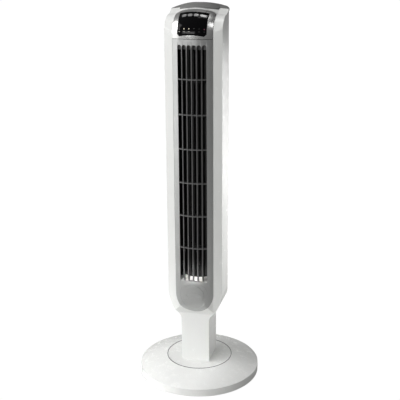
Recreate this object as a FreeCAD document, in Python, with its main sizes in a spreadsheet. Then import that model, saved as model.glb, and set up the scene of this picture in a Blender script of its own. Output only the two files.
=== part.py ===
import FreeCAD, Part
import os
import Sketcher

# Oscillating tower fan.  Millimetres, +Z up, the front faces -Y, the origin is on the floor
# in the middle of the round base.  Static parts are the base and its drive motor; everything
# from the turntable up swings about the Z axis.

SIZES = {
    # round base
    "base_radius": 149.0,
    "base_rim_height": 20.5,
    "deck_height": 40.5,
    "base_wall": 2.8,
    "foot_height": 2.0,
    "foot_radius": 8.0,
    "foot_circle_radius": 126.0,
    "foot_count": 6,
    "plate_thickness": 3.0,
    "base_screw_circle_radius": 108.0,
    "base_screw_count": 5,
    "well_depth": 10.5,
    # turntable and its pivot
    "turntable_radius": 80.7,
    "turntable_gap": 1.2,
    "turntable_thickness": 3.0,
    "slide_ring_radius": 75.0,
    "slide_ring_width": 5.0,
    "slide_ring_thickness": 1.5,
    "pivot_radius": 12.0,
    "pivot_bore_radius": 7.5,
    "retainer_radius": 19.0,
    "retainer_thickness": 2.0,
    # swing drive
    "swing_motor_radius": 24.0,
    "swing_motor_height": 15.0,
    "swing_shaft_radius": 3.0,
    "crank_throw": 14.0,
    "lever_radius": 22.0,
    "link_length": 46.0,
    "link_thickness": 2.2,
    "link_pin_radius": 2.0,
    "crank_thickness": 2.2,
    # column
    "column_half_width": 35.0,
    "column_front": 39.6,
    "column_back": 44.0,
    "column_back_round": 9.0,
    "column_wall": 2.5,
    "socket_height": 34.0,
    # tower body in plan
    "tower_half_width": 67.3,
    "crease_depth": 39.2,
    "side_back": 20.0,
    "tower_back": 70.0,
    "back_round": 50.0,
    "panel_half_width": 47.2,
    "panel_edge_depth": 44.2,
    "panel_bulge": 12.8,
    "shell_wall": 2.5,
    "seam_gap": 0.4,
    "seam_setback": 1.2,
    # tower body in height
    "overall_height": 915.0,
    "form_bottom": 140.0,
    "rear_bottom": 155.0,
    "lower_arc_height": 229.2,
    "lower_arc_radius": 90.0,
    "neck_fillet_radius": 18.0,
    "chin_arc_height": 235.0,
    "chin_arc_radius": 131.0,
    "dome_height": "=overall_height - 70",
    "dome_centre_back": 2.4,
    "roof_peak_back": 24.0,
    "roof_crown_radius": 165.0,
    "back_top_round": 50.0,
    "flank_lift": 3.0,
    # front grille and badge
    "seam_height": "=dome_height - 5.4",
    "slot_field_half_width": 34.5,
    "slot_count": 6,
    "slot_top": "=dome_height - 18",
    "slot_bottom": 263.0,
    "slot_bottom_sag": 6.0,
    "rib_width": 2.2,
    "rib_depth": 8.0,
    "ring_count": 6,
    "ring_first_height": 346.0,
    "ring_pitch": "=(slot_top - ring_first_height - 77) / (ring_count - 1)",
    "ring_width": 2.4,
    "panel_gap": 0.5,
    "panel_wall": 2.4,
    "badge_height": 224.0,
    "badge_radius": 26.0,
    "badge_relief": 1.2,
    # control pod
    "pod_tilt": 34.0,
    "pod_top": 38.5,
    "pod_corner_round": 13.0,
    "display_half_width": 34.0,
    "display_top": 27.5,
    "display_bottom": 30.7,
    "display_chamfer": 5.5,
    "display_thickness": 2.0,
    "button_angle": 50.7,
    "button_length": 7.0,
    "button_width": 11.0,
    "button_pitch": 13.75,
    "button_first": -21.0,
    "wide_button_width": 15.6,
    "wide_button_centre": 23.4,
    "button_clearance": 0.35,
    "button_relief": 1.1,
    "button_travel": 0.8,
    "lamp_radius": 1.2,
    "lamp_pitch": 11.4,
    "lamp_angle": 16.6,
    "lamp_count": 6,
    "board_inset": 16.0,
    "switch_height": 5.0,
    # roof cap and carry handle
    "cap_lip_half_width": 44.0,
    "cap_lip_front": 0.8,
    "cap_lip_end": 18.5,
    "cap_side_back": 26.5,
    "cap_corner_height": "=overall_height - 18.5",
    "cap_gap": 1.4,
    "cap_relief": 1.2,
    "cap_wall": 3.0,
    "handle_half_width": 44.0,
    "handle_bottom": "=dome_height + 11",
    "handle_height": 24.0,
    "handle_depth": 32.0,
    "handle_wall": 2.0,
    # blower
    "blower_back": 10.0,
    "blower_radius": 42.0,
    "blower_bottom": 264.0,
    "blower_top": "=dome_height - 25",
    "blade_count": 24,
    "blade_depth": 9.0,
    "blade_thickness": 1.2,
    "disc_count": 8,
    "disc_thickness": 2.0,
    "duct_wall": 2.0,
    "duct_floor_height": 258.0,
    "duct_ceiling_height": "=dome_height - 17",
    "end_plate_thickness": 2.5,
    "volute_gap": 7.0,
    "tongue_gap": 3.0,
    "stub_radius": 3.0,
    "running_fit": 0.06,
    "bush_radius": 8.0,
    "bush_height": 9.0,
    "rubber_wall": 3.0,
    # main motor
    "motor_radius": 37.0,
    "motor_bottom": 193.0,
    "motor_bell_height": 13.0,
    "stator_height": 22.0,
    "rotor_radius": 20.0,
    "rotor_gap": 0.5,
    "shaft_radius": 4.0,
    "motor_lug_radius": 45.5,
    # rear intake
    "intake_half_width": 47.0,
    "intake_bottom": 275.0,
    "intake_top": "=dome_height - 30",
    "intake_columns": 13,
    "intake_rows": 7,
    "intake_bar": 3.2,
    # fasteners and small parts
    "screw_radius": 1.6,
    "screw_head_radius": 3.4,
    "screw_head_height": 2.0,
    "screw_length": 12.0,
    "boss_radius": 4.6,
    "boss_depth": 16.0,
    "boss_clearance": 0.4,
    "boss_rib": 2.4,
    "board_thickness": 1.6,
    "switch_side": 6.0,
    "capacitor_width": 36.0,
    "capacitor_depth": 14.0,
    "cord_bush_radius": 7.0,
    "cord_bush_bore": 4.0,
    "cord_bush_length": 9.0,
    # clearances, and how far the cutting shapes run past the tower
    "running_lift": 0.3,
    "free_fit": 0.3,
    "drive_gap": 0.6,
    "hole_run": 60.0,
    "cut_past": 5.0,
    "cutter_span": 400.0,
    "cutter_depth": 140.0,
}

document = FreeCAD.newDocument("tower_fan")
sheet = document.addObject("Spreadsheet::Sheet", "sizes")
for row, alias in enumerate(SIZES, start=1):
    sheet.set("A%d" % row, alias)
    sheet.setAlias("B%d" % row, alias)
for row, amount in enumerate(SIZES.values(), start=1):
    sheet.set("B%d" % row, str(amount))
document.recompute()

# Places that several sub-parts share, worked out from the driving sizes.
PLATE_BOTTOM = "sizes.foot_height"
PLATE_TOP = "(sizes.foot_height + sizes.plate_thickness)"
WELL_TOP = "(sizes.deck_height - sizes.well_depth)"
WELL_BOTTOM = "(%s - sizes.base_wall)" % WELL_TOP
WELL_RADIUS = "(sizes.turntable_radius + sizes.turntable_gap)"
TABLE_BOTTOM = "(sizes.deck_height - sizes.turntable_thickness)"
RETAINER_TOP = "(%s - sizes.running_lift)" % WELL_BOTTOM
CRANK_X = "(sizes.crank_throw - sizes.lever_radius)"
CRANK_Z = "(%s + sizes.drive_gap)" % WELL_TOP
LINK_Z = "(%s - sizes.drive_gap - sizes.link_thickness)" % TABLE_BOTTOM
PANEL_FRONT = "(sizes.panel_edge_depth + sizes.panel_bulge)"
PANEL_ARC = "((sizes.panel_half_width^2 + sizes.panel_bulge^2) / (2 * sizes.panel_bulge))"
DOME_REACH = "(%s + sizes.dome_centre_back)" % PANEL_FRONT
ROOF_HEIGHT = "(sizes.overall_height - sizes.cap_relief)"
ROOF_SLOPE = ("((%s - sizes.dome_height - %s) / (sizes.roof_peak_back - sizes.dome_centre_back))"
              % (ROOF_HEIGHT, DOME_REACH))
FLOOR_TOP = "(sizes.duct_floor_height + sizes.end_plate_thickness)"
BOARD_FACE = "(%s - sizes.board_inset)" % DOME_REACH
BUSH_TOP = "(sizes.duct_ceiling_height + sizes.bush_height)"
SLOT_PITCH = "(2 * sizes.slot_field_half_width / sizes.slot_count)"
MOTOR_TOP = "(sizes.motor_bottom + 2 * sizes.motor_bell_height + sizes.stator_height)"
INTAKE_PITCH = "(2 * sizes.intake_half_width / sizes.intake_columns)"
INTAKE_STEP = "((sizes.intake_top - sizes.intake_bottom) / sizes.intake_rows)"


def number(expression):
    """The number that an expression over the sheet gives."""
    return float(sheet.evalExpression(str(expression)))


def minus(expression):
    return "-(%s)" % expression


UPRIGHT = FreeCAD.Vector(0, 0, 1)


def place(item, x="0", y="0", z="0"):
    """Bind an object's position to expressions over the sheet."""
    item.setExpression("Placement.Base.x", x)
    item.setExpression("Placement.Base.y", y)
    item.setExpression("Placement.Base.z", z)
    return item


def turn_axis(item, axis):
    """Lay an upright primitive along the X or Y axis."""
    turns = {"x": FreeCAD.Vector(0, 1, 0), "y": FreeCAD.Vector(-1, 0, 0)}
    item.Placement.Rotation = FreeCAD.Rotation(turns[axis], 90)
    return item


def box(name, x, y, z, length, width, height):
    """A box with its low corner at x, y, z."""
    item = document.addObject("Part::Box", name)
    item.setExpression("Length", length)
    item.setExpression("Width", width)
    item.setExpression("Height", height)
    return place(item, x, y, z)


def cylinder(name, radius, height, x="0", y="0", z="0", axis="z"):
    """A cylinder from its start point along +X, +Y or +Z."""
    item = document.addObject("Part::Cylinder", name)
    item.setExpression("Radius", radius)
    item.setExpression("Height", height)
    if axis != "z":
        turn_axis(item, axis)
    return place(item, x, y, z)


def cut(name, base, *tools):
    """The base with every tool taken away."""
    tool = tools[0] if len(tools) == 1 else fuse(name + "_tools", *tools)
    item = document.addObject("Part::Cut", name)
    item.Base = base
    item.Tool = tool
    return item


def fuse(name, *shapes):
    item = document.addObject("Part::MultiFuse", name)
    item.Shapes = list(shapes)
    return item


def common(name, *shapes):
    item = document.addObject("Part::MultiCommon", name)
    item.Shapes = list(shapes)
    return item


def group(name, shapes):
    """Separate solids that share one name, such as a set of screws."""
    item = document.addObject("Part::Compound", name)
    item.Links = list(shapes)
    return item


def tube(name, radius, bore, height, x="0", y="0", z="0", axis="z"):
    outer = cylinder(name + "_outer", radius, height, x, y, z, axis)
    inner = cylinder(name + "_bore", bore, height, x, y, z, axis)
    return cut(name, outer, inner)


def new_body(name):
    return document.addObject("PartDesign::Body", name)


def new_sketch(body, name, role, offset="0"):
    """A sketch on one of the body's origin planes, moved along that plane's normal."""
    sketch = body.newObject("Sketcher::SketchObject", name)
    plane = next(item for item in body.Origin.OriginFeatures if item.Role == role)
    sketch.AttachmentSupport = [(plane, "")]
    sketch.MapMode = "FlatFace"
    sketch.setExpression("AttachmentOffset.Base.z", offset)
    return sketch


def bind(sketch, kind, places, expression):
    """Add a dimension to the sketch and bind it to an expression."""
    index = sketch.addConstraint(Sketcher.Constraint(kind, *places, number(expression)))
    sketch.setExpression("Constraints[%d]" % index, expression)


def arc_centre(start, end, radius, side):
    """Centre of the short arc from start to end, on the left or right of the way."""
    chord = end - start
    rise = (radius ** 2 - (chord.Length / 2) ** 2) ** 0.5
    normal = FreeCAD.Vector(-chord.y, chord.x, 0).normalize()
    if side == "right":
        normal = normal * -1
    return (start + end) * 0.5 + normal * rise


def draw(sketch, corners):
    """A closed outline.  A corner is (x, y) or (x, y, radius, side) when an arc leaves it."""
    points = [FreeCAD.Vector(number(corner[0]), number(corner[1]), 0) for corner in corners]
    count = len(corners)
    starts = []
    ends = []
    for index, corner in enumerate(corners):
        start = points[index]
        end = points[(index + 1) % count]
        if len(corner) == 2:
            sketch.addGeometry(Part.LineSegment(start, end))
            starts.append(1)
            ends.append(2)
        else:
            radius = number(corner[2])
            clockwise = corner[3] == "right"
            circle = Part.Circle(arc_centre(start, end, radius, corner[3]), UPRIGHT, radius)
            low = circle.parameter(end if clockwise else start)
            high = circle.parameter(start if clockwise else end)
            sketch.addGeometry(Part.ArcOfCircle(circle, low, high))
            starts.append(2 if clockwise else 1)
            ends.append(1 if clockwise else 2)
    for index in range(count):
        following = (index + 1) % count
        joint = Sketcher.Constraint("Coincident", index, ends[index], following, starts[following])
        sketch.addConstraint(joint)
    for index, corner in enumerate(corners):
        bind(sketch, "DistanceX", (-1, 1, index, starts[index]), corner[0])
        bind(sketch, "DistanceY", (-1, 1, index, starts[index]), corner[1])
        if len(corner) > 2:
            bind(sketch, "Radius", (index,), corner[2])
    return sketch


def mirrored(half, closing=(), crown=()):
    """Complete a right-hand half outline, listed in order, with its mirror image in x.

    An arc may cross the middle where the outline closes, or at its far end, as a crown."""
    whole = list(half)
    whole[-1] = tuple(half[-1]) + tuple(crown)
    for index in range(len(half) - 1, -1, -1):
        arc = tuple(half[index - 1][2:]) if index else tuple(closing)
        whole.append((minus(half[index][0]), half[index][1]) + arc)
    return whole


def pad(body, sketch, length, both_ways=False, reverse=False):
    feature = body.newObject("PartDesign::Pad", sketch.Name + "_pad")
    feature.Profile = sketch
    feature.setExpression("Length", length)
    feature.SideType = "Symmetric" if both_ways else "One side"
    feature.Reversed = reverse
    return feature


def prism(name, role, corners, length, offset="0", both_ways=False, reverse=False):
    """One closed outline padded into a solid."""
    body = new_body(name)
    sketch = draw(new_sketch(body, name + "_sketch", role, offset), corners)
    pad(body, sketch, length, both_ways, reverse)
    return body


def revolved(name, corners):
    """A half section in the XZ plane, turned about the Z axis."""
    body = new_body(name)
    sketch = draw(new_sketch(body, name + "_sketch", "XZ_Plane"), corners)
    feature = body.newObject("PartDesign::Revolution", name + "_turn")
    feature.Profile = sketch
    feature.ReferenceAxis = (sketch, ["V_Axis"])
    feature.Angle = 360
    return body


def screw(name, x, y, z, head_height, length, axis="z"):
    """A pan-head screw that points up +Z or forward -Y from its head's seat."""
    if axis == "z":
        head = cylinder(name + "_head", "sizes.screw_head_radius", head_height, x, y,
                        "%s - %s" % (z, head_height))
        shank = cylinder(name + "_shank", "sizes.screw_radius", length, x, y, z)
    else:
        head = cylinder(name + "_head", "sizes.screw_head_radius", head_height, x, y, z, "y")
        shank = cylinder(name + "_shank", "sizes.screw_radius", length, x,
                         "%s - %s" % (y, length), z, "y")
    return fuse(name, head, shank)


def on_circle(radius, count, index, start="0"):
    """x and y expressions of one of several places spread evenly round the Z axis."""
    angle = "(%s + 360 * %d / %s)" % (start, index, count)
    return "%s * cos(%s)" % (radius, angle), "%s * sin(%s)" % (radius, angle)


# ---------------------------------------------------------------- the form of the tower

def plan_corners(inset):
    """Plan of the tower: bulged front between two flanks, straight sides, rounded back."""
    return mirrored([
        ("sizes.tower_half_width - sizes.back_round",
         "sizes.tower_back - %s" % inset, "sizes.back_round - %s" % inset, "right"),
        ("sizes.tower_half_width - %s" % inset, "sizes.side_back"),
        ("sizes.tower_half_width - %s" % inset, "-(sizes.crease_depth - %s)" % inset),
        ("sizes.panel_half_width", "-(sizes.panel_edge_depth - %s)" % inset, PANEL_ARC, "right"),
    ])


def front_corners(inset):
    """The plan in front of the dome's axis, as the sketch that the dome is turned from."""
    return mirrored([
        ("sizes.tower_half_width - %s" % inset, "sizes.dome_centre_back"),
        ("sizes.tower_half_width - %s" % inset,
         "-(sizes.crease_depth + sizes.flank_lift - %s)" % inset),
        ("sizes.panel_half_width", "-(sizes.panel_edge_depth - %s)" % inset, PANEL_ARC, "right"),
    ])


def roof_corners(inset):
    """Cross-section of the roof, which the dome's end runs into."""
    axis = "sizes.dome_height + sizes.dome_centre_back - %s" % inset
    crease = axis + " + sizes.crease_depth + sizes.flank_lift"
    shoulder = axis + " + sizes.panel_edge_depth"
    return mirrored([
        ("sizes.tower_half_width - %s" % inset, "sizes.dome_height - sizes.crease_depth"),
        ("sizes.tower_half_width - %s" % inset, crease),
        ("sizes.panel_half_width", shoulder, PANEL_ARC, "left"),
    ])


def silhouette_corners(inset):
    """Front view of the tower: straight sides, a large lower arc and a fillet into the neck."""
    width = "(sizes.tower_half_width - %s)" % inset
    neck = "(sizes.column_half_width - %s)" % inset
    arc = "(sizes.lower_arc_radius - %s)" % inset
    fillet = "(sizes.neck_fillet_radius + %s)" % inset
    reach = "(sizes.lower_arc_radius + sizes.neck_fillet_radius)"
    across = "(%s + %s - %s + %s)" % (neck, fillet, width, arc)
    drop = "sqrt(%s^2 - %s^2)" % (reach, across)
    centre_height = "(sizes.lower_arc_height - %s)" % drop
    touch_x = "%s - %s + %s * %s / %s" % (width, arc, arc, across, reach)
    touch_z = "sizes.lower_arc_height - %s * %s / %s" % (arc, drop, reach)
    crown = "(sizes.roof_crown_radius - %s)" % inset
    shoulder = "%s - sizes.roof_crown_radius + sqrt(%s^2 - %s^2)" % (ROOF_HEIGHT, crown, width)
    return mirrored([
        (neck, "sizes.form_bottom"),
        (neck, centre_height, fillet, "right"),
        (touch_x, touch_z, arc, "left"),
        (width, "sizes.lower_arc_height"),
        (width, shoulder),
    ], crown=(crown, "left"))


def profile_corners(inset):
    """Side view of the tower: receding chin, upright front, level peak, rounded back."""
    front = "(%s - %s + 0.5)" % (PANEL_FRONT, inset)
    neck = "(sizes.column_front - %s)" % inset
    radius = "(sizes.chin_arc_radius - %s)" % inset
    step = "(%s - %s)" % (front, neck)
    chin_drop = "sqrt(%s^2 - (%s - %s)^2)" % (radius, radius, step)
    top = "(%s - %s)" % (ROOF_HEIGHT, inset)
    back = "(sizes.tower_back + 1 - %s)" % inset
    round_off = "(sizes.back_top_round - %s)" % inset
    return [
        (minus(neck), "sizes.form_bottom - 1"),
        (back, "sizes.form_bottom - 1"),
        (back, "%s - %s" % (top, round_off), round_off, "left"),
        ("%s - %s" % (back, round_off), top),
        (minus(front), top),
        (minus(front), "sizes.chin_arc_height", radius, "left"),
        (minus(neck), "sizes.chin_arc_height - %s" % chin_drop),
    ]


def tower_block(name, inset):
    """Upright prism, front dome and sloping roof in one body."""
    body = new_body(name)
    plan = draw(new_sketch(body, name + "_plan", "XY_Plane", "sizes.form_bottom"),
                plan_corners(inset))
    pad(body, plan, "sizes.dome_height - sizes.form_bottom")
    front = draw(new_sketch(body, name + "_front", "XY_Plane", "sizes.dome_height"),
                 front_corners(inset))
    centre = number("sizes.dome_centre_back")
    hinge = Part.LineSegment(FreeCAD.Vector(-1, centre, 0), FreeCAD.Vector(1, centre, 0))
    axis = front.addGeometry(hinge, True)
    front.addConstraint(Sketcher.Constraint("Horizontal", axis))
    bind(front, "DistanceY", (-1, 1, axis, 1), "sizes.dome_centre_back")
    dome = body.newObject("PartDesign::Revolution", name + "_dome")
    dome.Profile = front
    dome.ReferenceAxis = (front, ["Axis0"])
    dome.Angle = 90
    dome.Reversed = True
    roof = draw(new_sketch(body, name + "_roof", "XZ_Plane", "-sizes.dome_centre_back"),
                roof_corners(inset))
    slope = pad(body, roof, "sizes.tower_back - %s - sizes.dome_centre_back" % inset)
    slope.UseCustomVector = True
    slope.AlongSketchNormal = True
    slope.Direction = FreeCAD.Vector(0, 1, number(ROOF_SLOPE))
    slope.setExpression("Direction.z", ROOF_SLOPE)
    return body


forms = {}


def tower_form(inset):
    """The tower's outer form moved in by an inset, with no neck; each is made once and shared."""
    if inset not in forms:
        forms[inset] = make_tower_form("form_%d" % len(forms), "(%s)" % inset)
    return forms[inset]


def make_tower_form(name, inset):
    block = tower_block(name + "_block", inset)
    tall_plan = prism(name + "_tall", "XY_Plane", plan_corners(inset),
                      "sizes.overall_height + 40 - sizes.form_bottom", "sizes.form_bottom")
    outline = prism(name + "_outline", "XZ_Plane", silhouette_corners(inset),
                    "sizes.cutter_span", both_ways=True)
    profile = prism(name + "_profile", "YZ_Plane", profile_corners(inset),
                    "sizes.cutter_span", both_ways=True)
    return common(name, block, tall_plan, outline, profile)


def neck_form(name, inset):
    """The column's outer form, square at the front and rounded at the back."""
    inset = "(%s)" % inset
    width = "(sizes.column_half_width - %s)" % inset
    back = "(sizes.column_back - %s)" % inset
    corner = "(sizes.column_back_round - %s)" % inset
    corners = mirrored([
        ("%s - %s" % (width, corner), back, corner, "right"),
        (width, "%s - %s" % (back, corner)),
        (width, "-(sizes.column_front - %s)" % inset),
    ])
    return prism(name, "XY_Plane", corners, "sizes.lower_arc_height - 30 - sizes.deck_height",
                 "sizes.deck_height")



# ---------------------------------------------------------------- window outlines

def panel_corners(gap):
    """Front view of the grille panel: straight sides over a round lower end."""
    width = "(sizes.panel_half_width - %s)" % gap
    return mirrored([
        ("0.6 * " + width, "sizes.badge_height - 0.8 * " + width, width, "left"),
        (width, "sizes.badge_height"),
        (width, "sizes.seam_height - %s" % gap),
    ], closing=(width, "left"))


def pod_corners(gap):
    """The control pod seen square on to its slope, from below the seam to its round top."""
    width = "(sizes.panel_half_width - %s)" % gap
    corner = "(sizes.pod_corner_round - %s)" % gap
    top = "(sizes.pod_top - %s)" % gap
    return mirrored([
        (width, "-80"),
        (width, "%s - %s" % (top, corner), corner, "left"),
        ("%s - %s" % (width, corner), top),
    ])


def display_corners(gap):
    """The display window on the same slope, with its two lower corners cut off."""
    width = "(sizes.display_half_width - %s)" % gap
    low = "-(sizes.display_bottom - %s)" % gap
    return mirrored([
        ("%s - sizes.display_chamfer" % width, low),
        (width, "%s + sizes.display_chamfer" % low),
        (width, "sizes.display_top - %s" % gap),
    ])


def tilted_prism(name, corners, tilt):
    """An outline on a plane through the dome's axis, tipped back, padded forward."""
    body = new_body(name)
    sketch = draw(new_sketch(body, name + "_sketch", "XZ_Plane", "-sizes.dome_centre_back"), corners)
    sketch.setExpression("AttachmentOffset.Base.y", "sizes.dome_height")
    sketch.AttachmentOffset.Rotation = FreeCAD.Rotation(FreeCAD.Vector(1, 0, 0), -number(tilt))
    sketch.setExpression("AttachmentOffset.Rotation.Angle", minus(tilt))
    pad(body, sketch, "sizes.cutter_depth")
    return body


def window_prism(name, corners):
    """A front-view outline carried from the middle of the tower out through the front."""
    return prism(name, "XZ_Plane", corners, "sizes.cutter_depth")


def slab(name, bottom, height="2 * sizes.overall_height"):
    """A level block wider than the tower, from one height upwards."""
    half = "-sizes.cutter_span / 2"
    return box(name, half, half, bottom, "sizes.cutter_span", "sizes.cutter_span", height)


def oval_corners(width, height, centre):
    """A slot shape with round ends, lying level."""
    radius = "(%s / 2)" % height
    left = "(%s - %s / 2 + %s)" % (centre, width, radius)
    right = "(%s + %s / 2 - %s)" % (centre, width, radius)
    return [
        (left, minus(radius)),
        (right, minus(radius), radius, "left"),
        ("%s + %s" % (right, radius), "0", radius, "left"),
        (right, radius),
        (left, radius, radius, "left"),
        ("%s - %s" % (left, radius), "0", radius, "left"),
    ]


def cap_region(name, gap, lip_gap):
    """Where the roof cap sits: a bowed front lip, straight shoulders and a sloping seat."""
    lip = "sizes.cap_lip_half_width + %s" % minus(lip_gap)
    bow = "(sizes.cap_lip_end - sizes.cap_lip_front)"
    sweep = "(((%s)^2 + %s^2) / (2 * %s))" % (lip, bow, bow)
    width = "(sizes.tower_half_width + 20)"
    lip_end = "sizes.cap_lip_end + %s" % lip_gap
    shoulder = "sizes.cap_side_back + %s" % gap
    plan = prism(name + "_plan", "XY_Plane", mirrored([
        (lip, lip_end),
        ("%s + 2" % lip, shoulder),
        (width, shoulder),
        (width, "sizes.cutter_span / 2"),
    ], closing=(sweep, "left")), "sizes.cutter_span", "sizes.dome_height")
    seat = "(sizes.cap_corner_height + %s)" % gap
    run = "(sizes.cap_side_back - sizes.cap_lip_front + 10)"
    side = prism(name + "_side", "YZ_Plane", [
        ("sizes.cap_side_back - %s" % run, "%s - %s * %s" % (seat, run, ROOF_SLOPE)),
        ("sizes.cap_side_back", seat),
        ("sizes.cutter_span / 2", seat),
        ("sizes.cutter_span / 2", "sizes.overall_height + 100"),
        ("sizes.cap_side_back - %s" % run, "sizes.overall_height + 100"),
    ], "sizes.cutter_span", both_ways=True)
    return common(name, plan, side)


def core_prism(name, gap):
    """Everything behind the seam between the front frame and the rear shell."""
    seam = "(sizes.crease_depth - sizes.seam_setback + %s)" % gap
    radius = "(%s + sizes.flank_lift + sizes.dome_centre_back)" % seam
    behind = "sizes.cutter_span / 2"
    bend = "sizes.dome_height + sqrt(%s^2 - (%s + sizes.dome_centre_back)^2)" % (radius, seam)
    top = "(sizes.dome_height + %s)" % radius
    return prism(name, "YZ_Plane", [
        (minus(seam), "sizes.foot_height"),
        (behind, "sizes.foot_height"),
        (behind, "%s + %s * (%s - sizes.dome_centre_back)" % (top, ROOF_SLOPE, behind)),
        ("sizes.dome_centre_back", top, radius, "left"),
        (minus(seam), bend),
    ], "sizes.cutter_span", both_ways=True)


# ---------------------------------------------------------------- base

def base_cover():
    """Domed ring with an upright rim and a sunk well that carries the turntable."""
    rim = "sizes.base_radius"
    wall = "sizes.base_wall"
    inner_dome = "(%s + %s)" % (WELL_RADIUS, wall)
    rise = "(sizes.deck_height - sizes.base_rim_height)"
    run = "(%s^2 - %s^2)" % (rim, WELL_RADIUS)
    sink = "((%s - %s^2) / (2 * %s))" % (run, rise, rise)
    dome = "sqrt(%s^2 + %s^2)" % (rim, sink)
    bore = "(sizes.pivot_radius + sizes.running_fit)"
    lip = "(sqrt((%s - %s)^2 - %s^2) - %s + sizes.base_rim_height)" % (dome, wall, inner_dome, sink)
    ring = revolved("base_cover_ring", [
        ("%s - %s" % (rim, wall), PLATE_BOTTOM),
        (rim, PLATE_BOTTOM),
        (rim, "sizes.base_rim_height", dome, "left"),
        (WELL_RADIUS, "sizes.deck_height"),
        (WELL_RADIUS, WELL_TOP),
        (bore, WELL_TOP),
        (bore, WELL_BOTTOM),
        (inner_dome, WELL_BOTTOM),
        (inner_dome, lip, "(%s - %s)" % (dome, wall), "right"),
        ("%s - %s" % (rim, wall), "sizes.base_rim_height - 0.6 * %s" % wall),
    ])
    shaft_hole = cylinder("swing_shaft_hole", "sizes.swing_shaft_radius + 1", "sizes.base_wall + 2",
                          CRANK_X, "sizes.link_length", "%s - 1" % WELL_BOTTOM)
    cord_hole = cylinder("cord_hole", "sizes.cord_bush_radius + 0.1", "20", "0",
                         "sizes.base_radius - 12", "(%s + sizes.base_rim_height) / 2" % PLATE_TOP, "y")
    boss_reach = "(sizes.base_screw_circle_radius + sizes.boss_radius)"
    boss_top = "(sqrt(%s^2 - %s^2) - %s + sizes.base_rim_height - 1)" % (dome, boss_reach, sink)
    bosses = []
    holes = []
    for index in range(int(number("sizes.base_screw_count"))):
        x, y = on_circle("sizes.base_screw_circle_radius", "sizes.base_screw_count", index, "90 + 36")
        bosses.append(cylinder("base_boss_%d" % index, "sizes.boss_radius",
                               "%s - %s" % (boss_top, PLATE_TOP), x, y, PLATE_TOP))
        holes.append(cylinder("base_boss_hole_%d" % index, "sizes.screw_radius",
                              "sizes.screw_length", x, y, PLATE_TOP))
    whole = fuse("base_cover_whole", ring, *bosses)
    return cut("base_cover", whole, shaft_hole, cord_hole, *holes)


def base_plate():
    """Flat tray that closes the underside, drilled for its screws and feet."""
    disc = cylinder("base_plate_disc", "sizes.base_radius - sizes.base_wall - sizes.seam_gap",
                    "sizes.plate_thickness", z=PLATE_BOTTOM)
    holes = []
    for index in range(int(number("sizes.base_screw_count"))):
        x, y = on_circle("sizes.base_screw_circle_radius", "sizes.base_screw_count", index, "90 + 36")
        holes.append(cylinder("plate_screw_hole_%d" % index, "sizes.screw_radius", "20", x, y, "0"))
        holes.append(cylinder("plate_counterbore_%d" % index, "sizes.screw_head_radius + sizes.free_fit",
                              "sizes.foot_height + 1.6", x, y, "0"))
    for index in range(int(number("sizes.foot_count"))):
        x, y = on_circle("sizes.foot_circle_radius", "sizes.foot_count", index, "90")
        holes.append(cylinder("plate_foot_hole_%d" % index, "sizes.foot_radius / 2", "20", x, y, "0"))
    return cut("base_plate", disc, *holes)


def base_screws():
    screws = []
    for index in range(int(number("sizes.base_screw_count"))):
        x, y = on_circle("sizes.base_screw_circle_radius", "sizes.base_screw_count", index, "90 + 36")
        screws.append(screw("base_screw_%d" % index, x, y, "%s + 1.6" % PLATE_BOTTOM, "1.6",
                            "(sizes.screw_length + 0.4)"))
    return group("base_screws", screws)


def rubber_feet():
    """Pads with stems pushed into the base plate."""
    feet = []
    for index in range(int(number("sizes.foot_count"))):
        x, y = on_circle("sizes.foot_circle_radius", "sizes.foot_count", index, "90")
        pad_disc = cylinder("foot_pad_%d" % index, "sizes.foot_radius", "sizes.foot_height", x, y, "0")
        stem = cylinder("foot_stem_%d" % index, "sizes.foot_radius / 2", "sizes.plate_thickness",
                        x, y, "sizes.foot_height")
        feet.append(fuse("foot_%d" % index, pad_disc, stem))
    return group("rubber_feet", feet)


def slide_ring():
    """Low-friction ring that the turntable turns on."""
    return tube("slide_ring", "sizes.slide_ring_radius",
                "sizes.slide_ring_radius - sizes.slide_ring_width",
                "sizes.slide_ring_thickness", z=WELL_TOP)


def cord_bush():
    """Inlet bush for the supply cord, at the back of the base."""
    middle = "(%s + sizes.base_rim_height) / 2" % PLATE_TOP
    start = "sizes.base_radius - sizes.cord_bush_length"
    barrel = cylinder("cord_bush_barrel", "sizes.cord_bush_radius", "sizes.cord_bush_length", "0",
                      start, middle, "y")
    collar = cylinder("cord_bush_collar", "sizes.cord_bush_radius + 0.6", "2", "0", start, middle, "y")
    bore = cylinder("cord_bush_hole", "sizes.cord_bush_bore", "30", "0",
                    "sizes.base_radius - 20", middle, "y")
    return cut("cord_bush", fuse("cord_bush_body", barrel, collar), bore)


def swing_motor():
    """Small synchronous gear motor under the well floor, with two fixing ears."""
    top = "(%s - sizes.swing_motor_height)" % WELL_BOTTOM
    can = cylinder("swing_motor_can", "sizes.swing_motor_radius", "sizes.swing_motor_height",
                   CRANK_X, "sizes.link_length", top)
    ears = []
    for index, side in enumerate(("-1", "1")):
        middle = "%s + %s * (sizes.swing_motor_radius + 5)" % (CRANK_X, side)
        ear = box("swing_motor_ear_%d" % index, "%s - 9" % middle, "sizes.link_length - 6",
                  "%s - 1.5" % WELL_BOTTOM, "18", "12", "1.5")
        hole = cylinder("swing_motor_ear_hole_%d" % index, "sizes.screw_radius", "5",
                        middle, "sizes.link_length", "%s - 3" % WELL_BOTTOM)
        ears.append(cut("swing_motor_lug_%d" % index, ear, hole))
    return fuse("swing_motor", can, *ears)


def swing_motor_screws():
    screws = []
    for index, side in enumerate(("-1", "1")):
        middle = "%s + %s * (sizes.swing_motor_radius + 5)" % (CRANK_X, side)
        screws.append(screw("swing_screw_%d" % index, middle, "sizes.link_length",
                            "%s - 1.5" % WELL_BOTTOM, "sizes.screw_head_height", "1.5"))
    return group("swing_motor_screws", screws)


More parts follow.
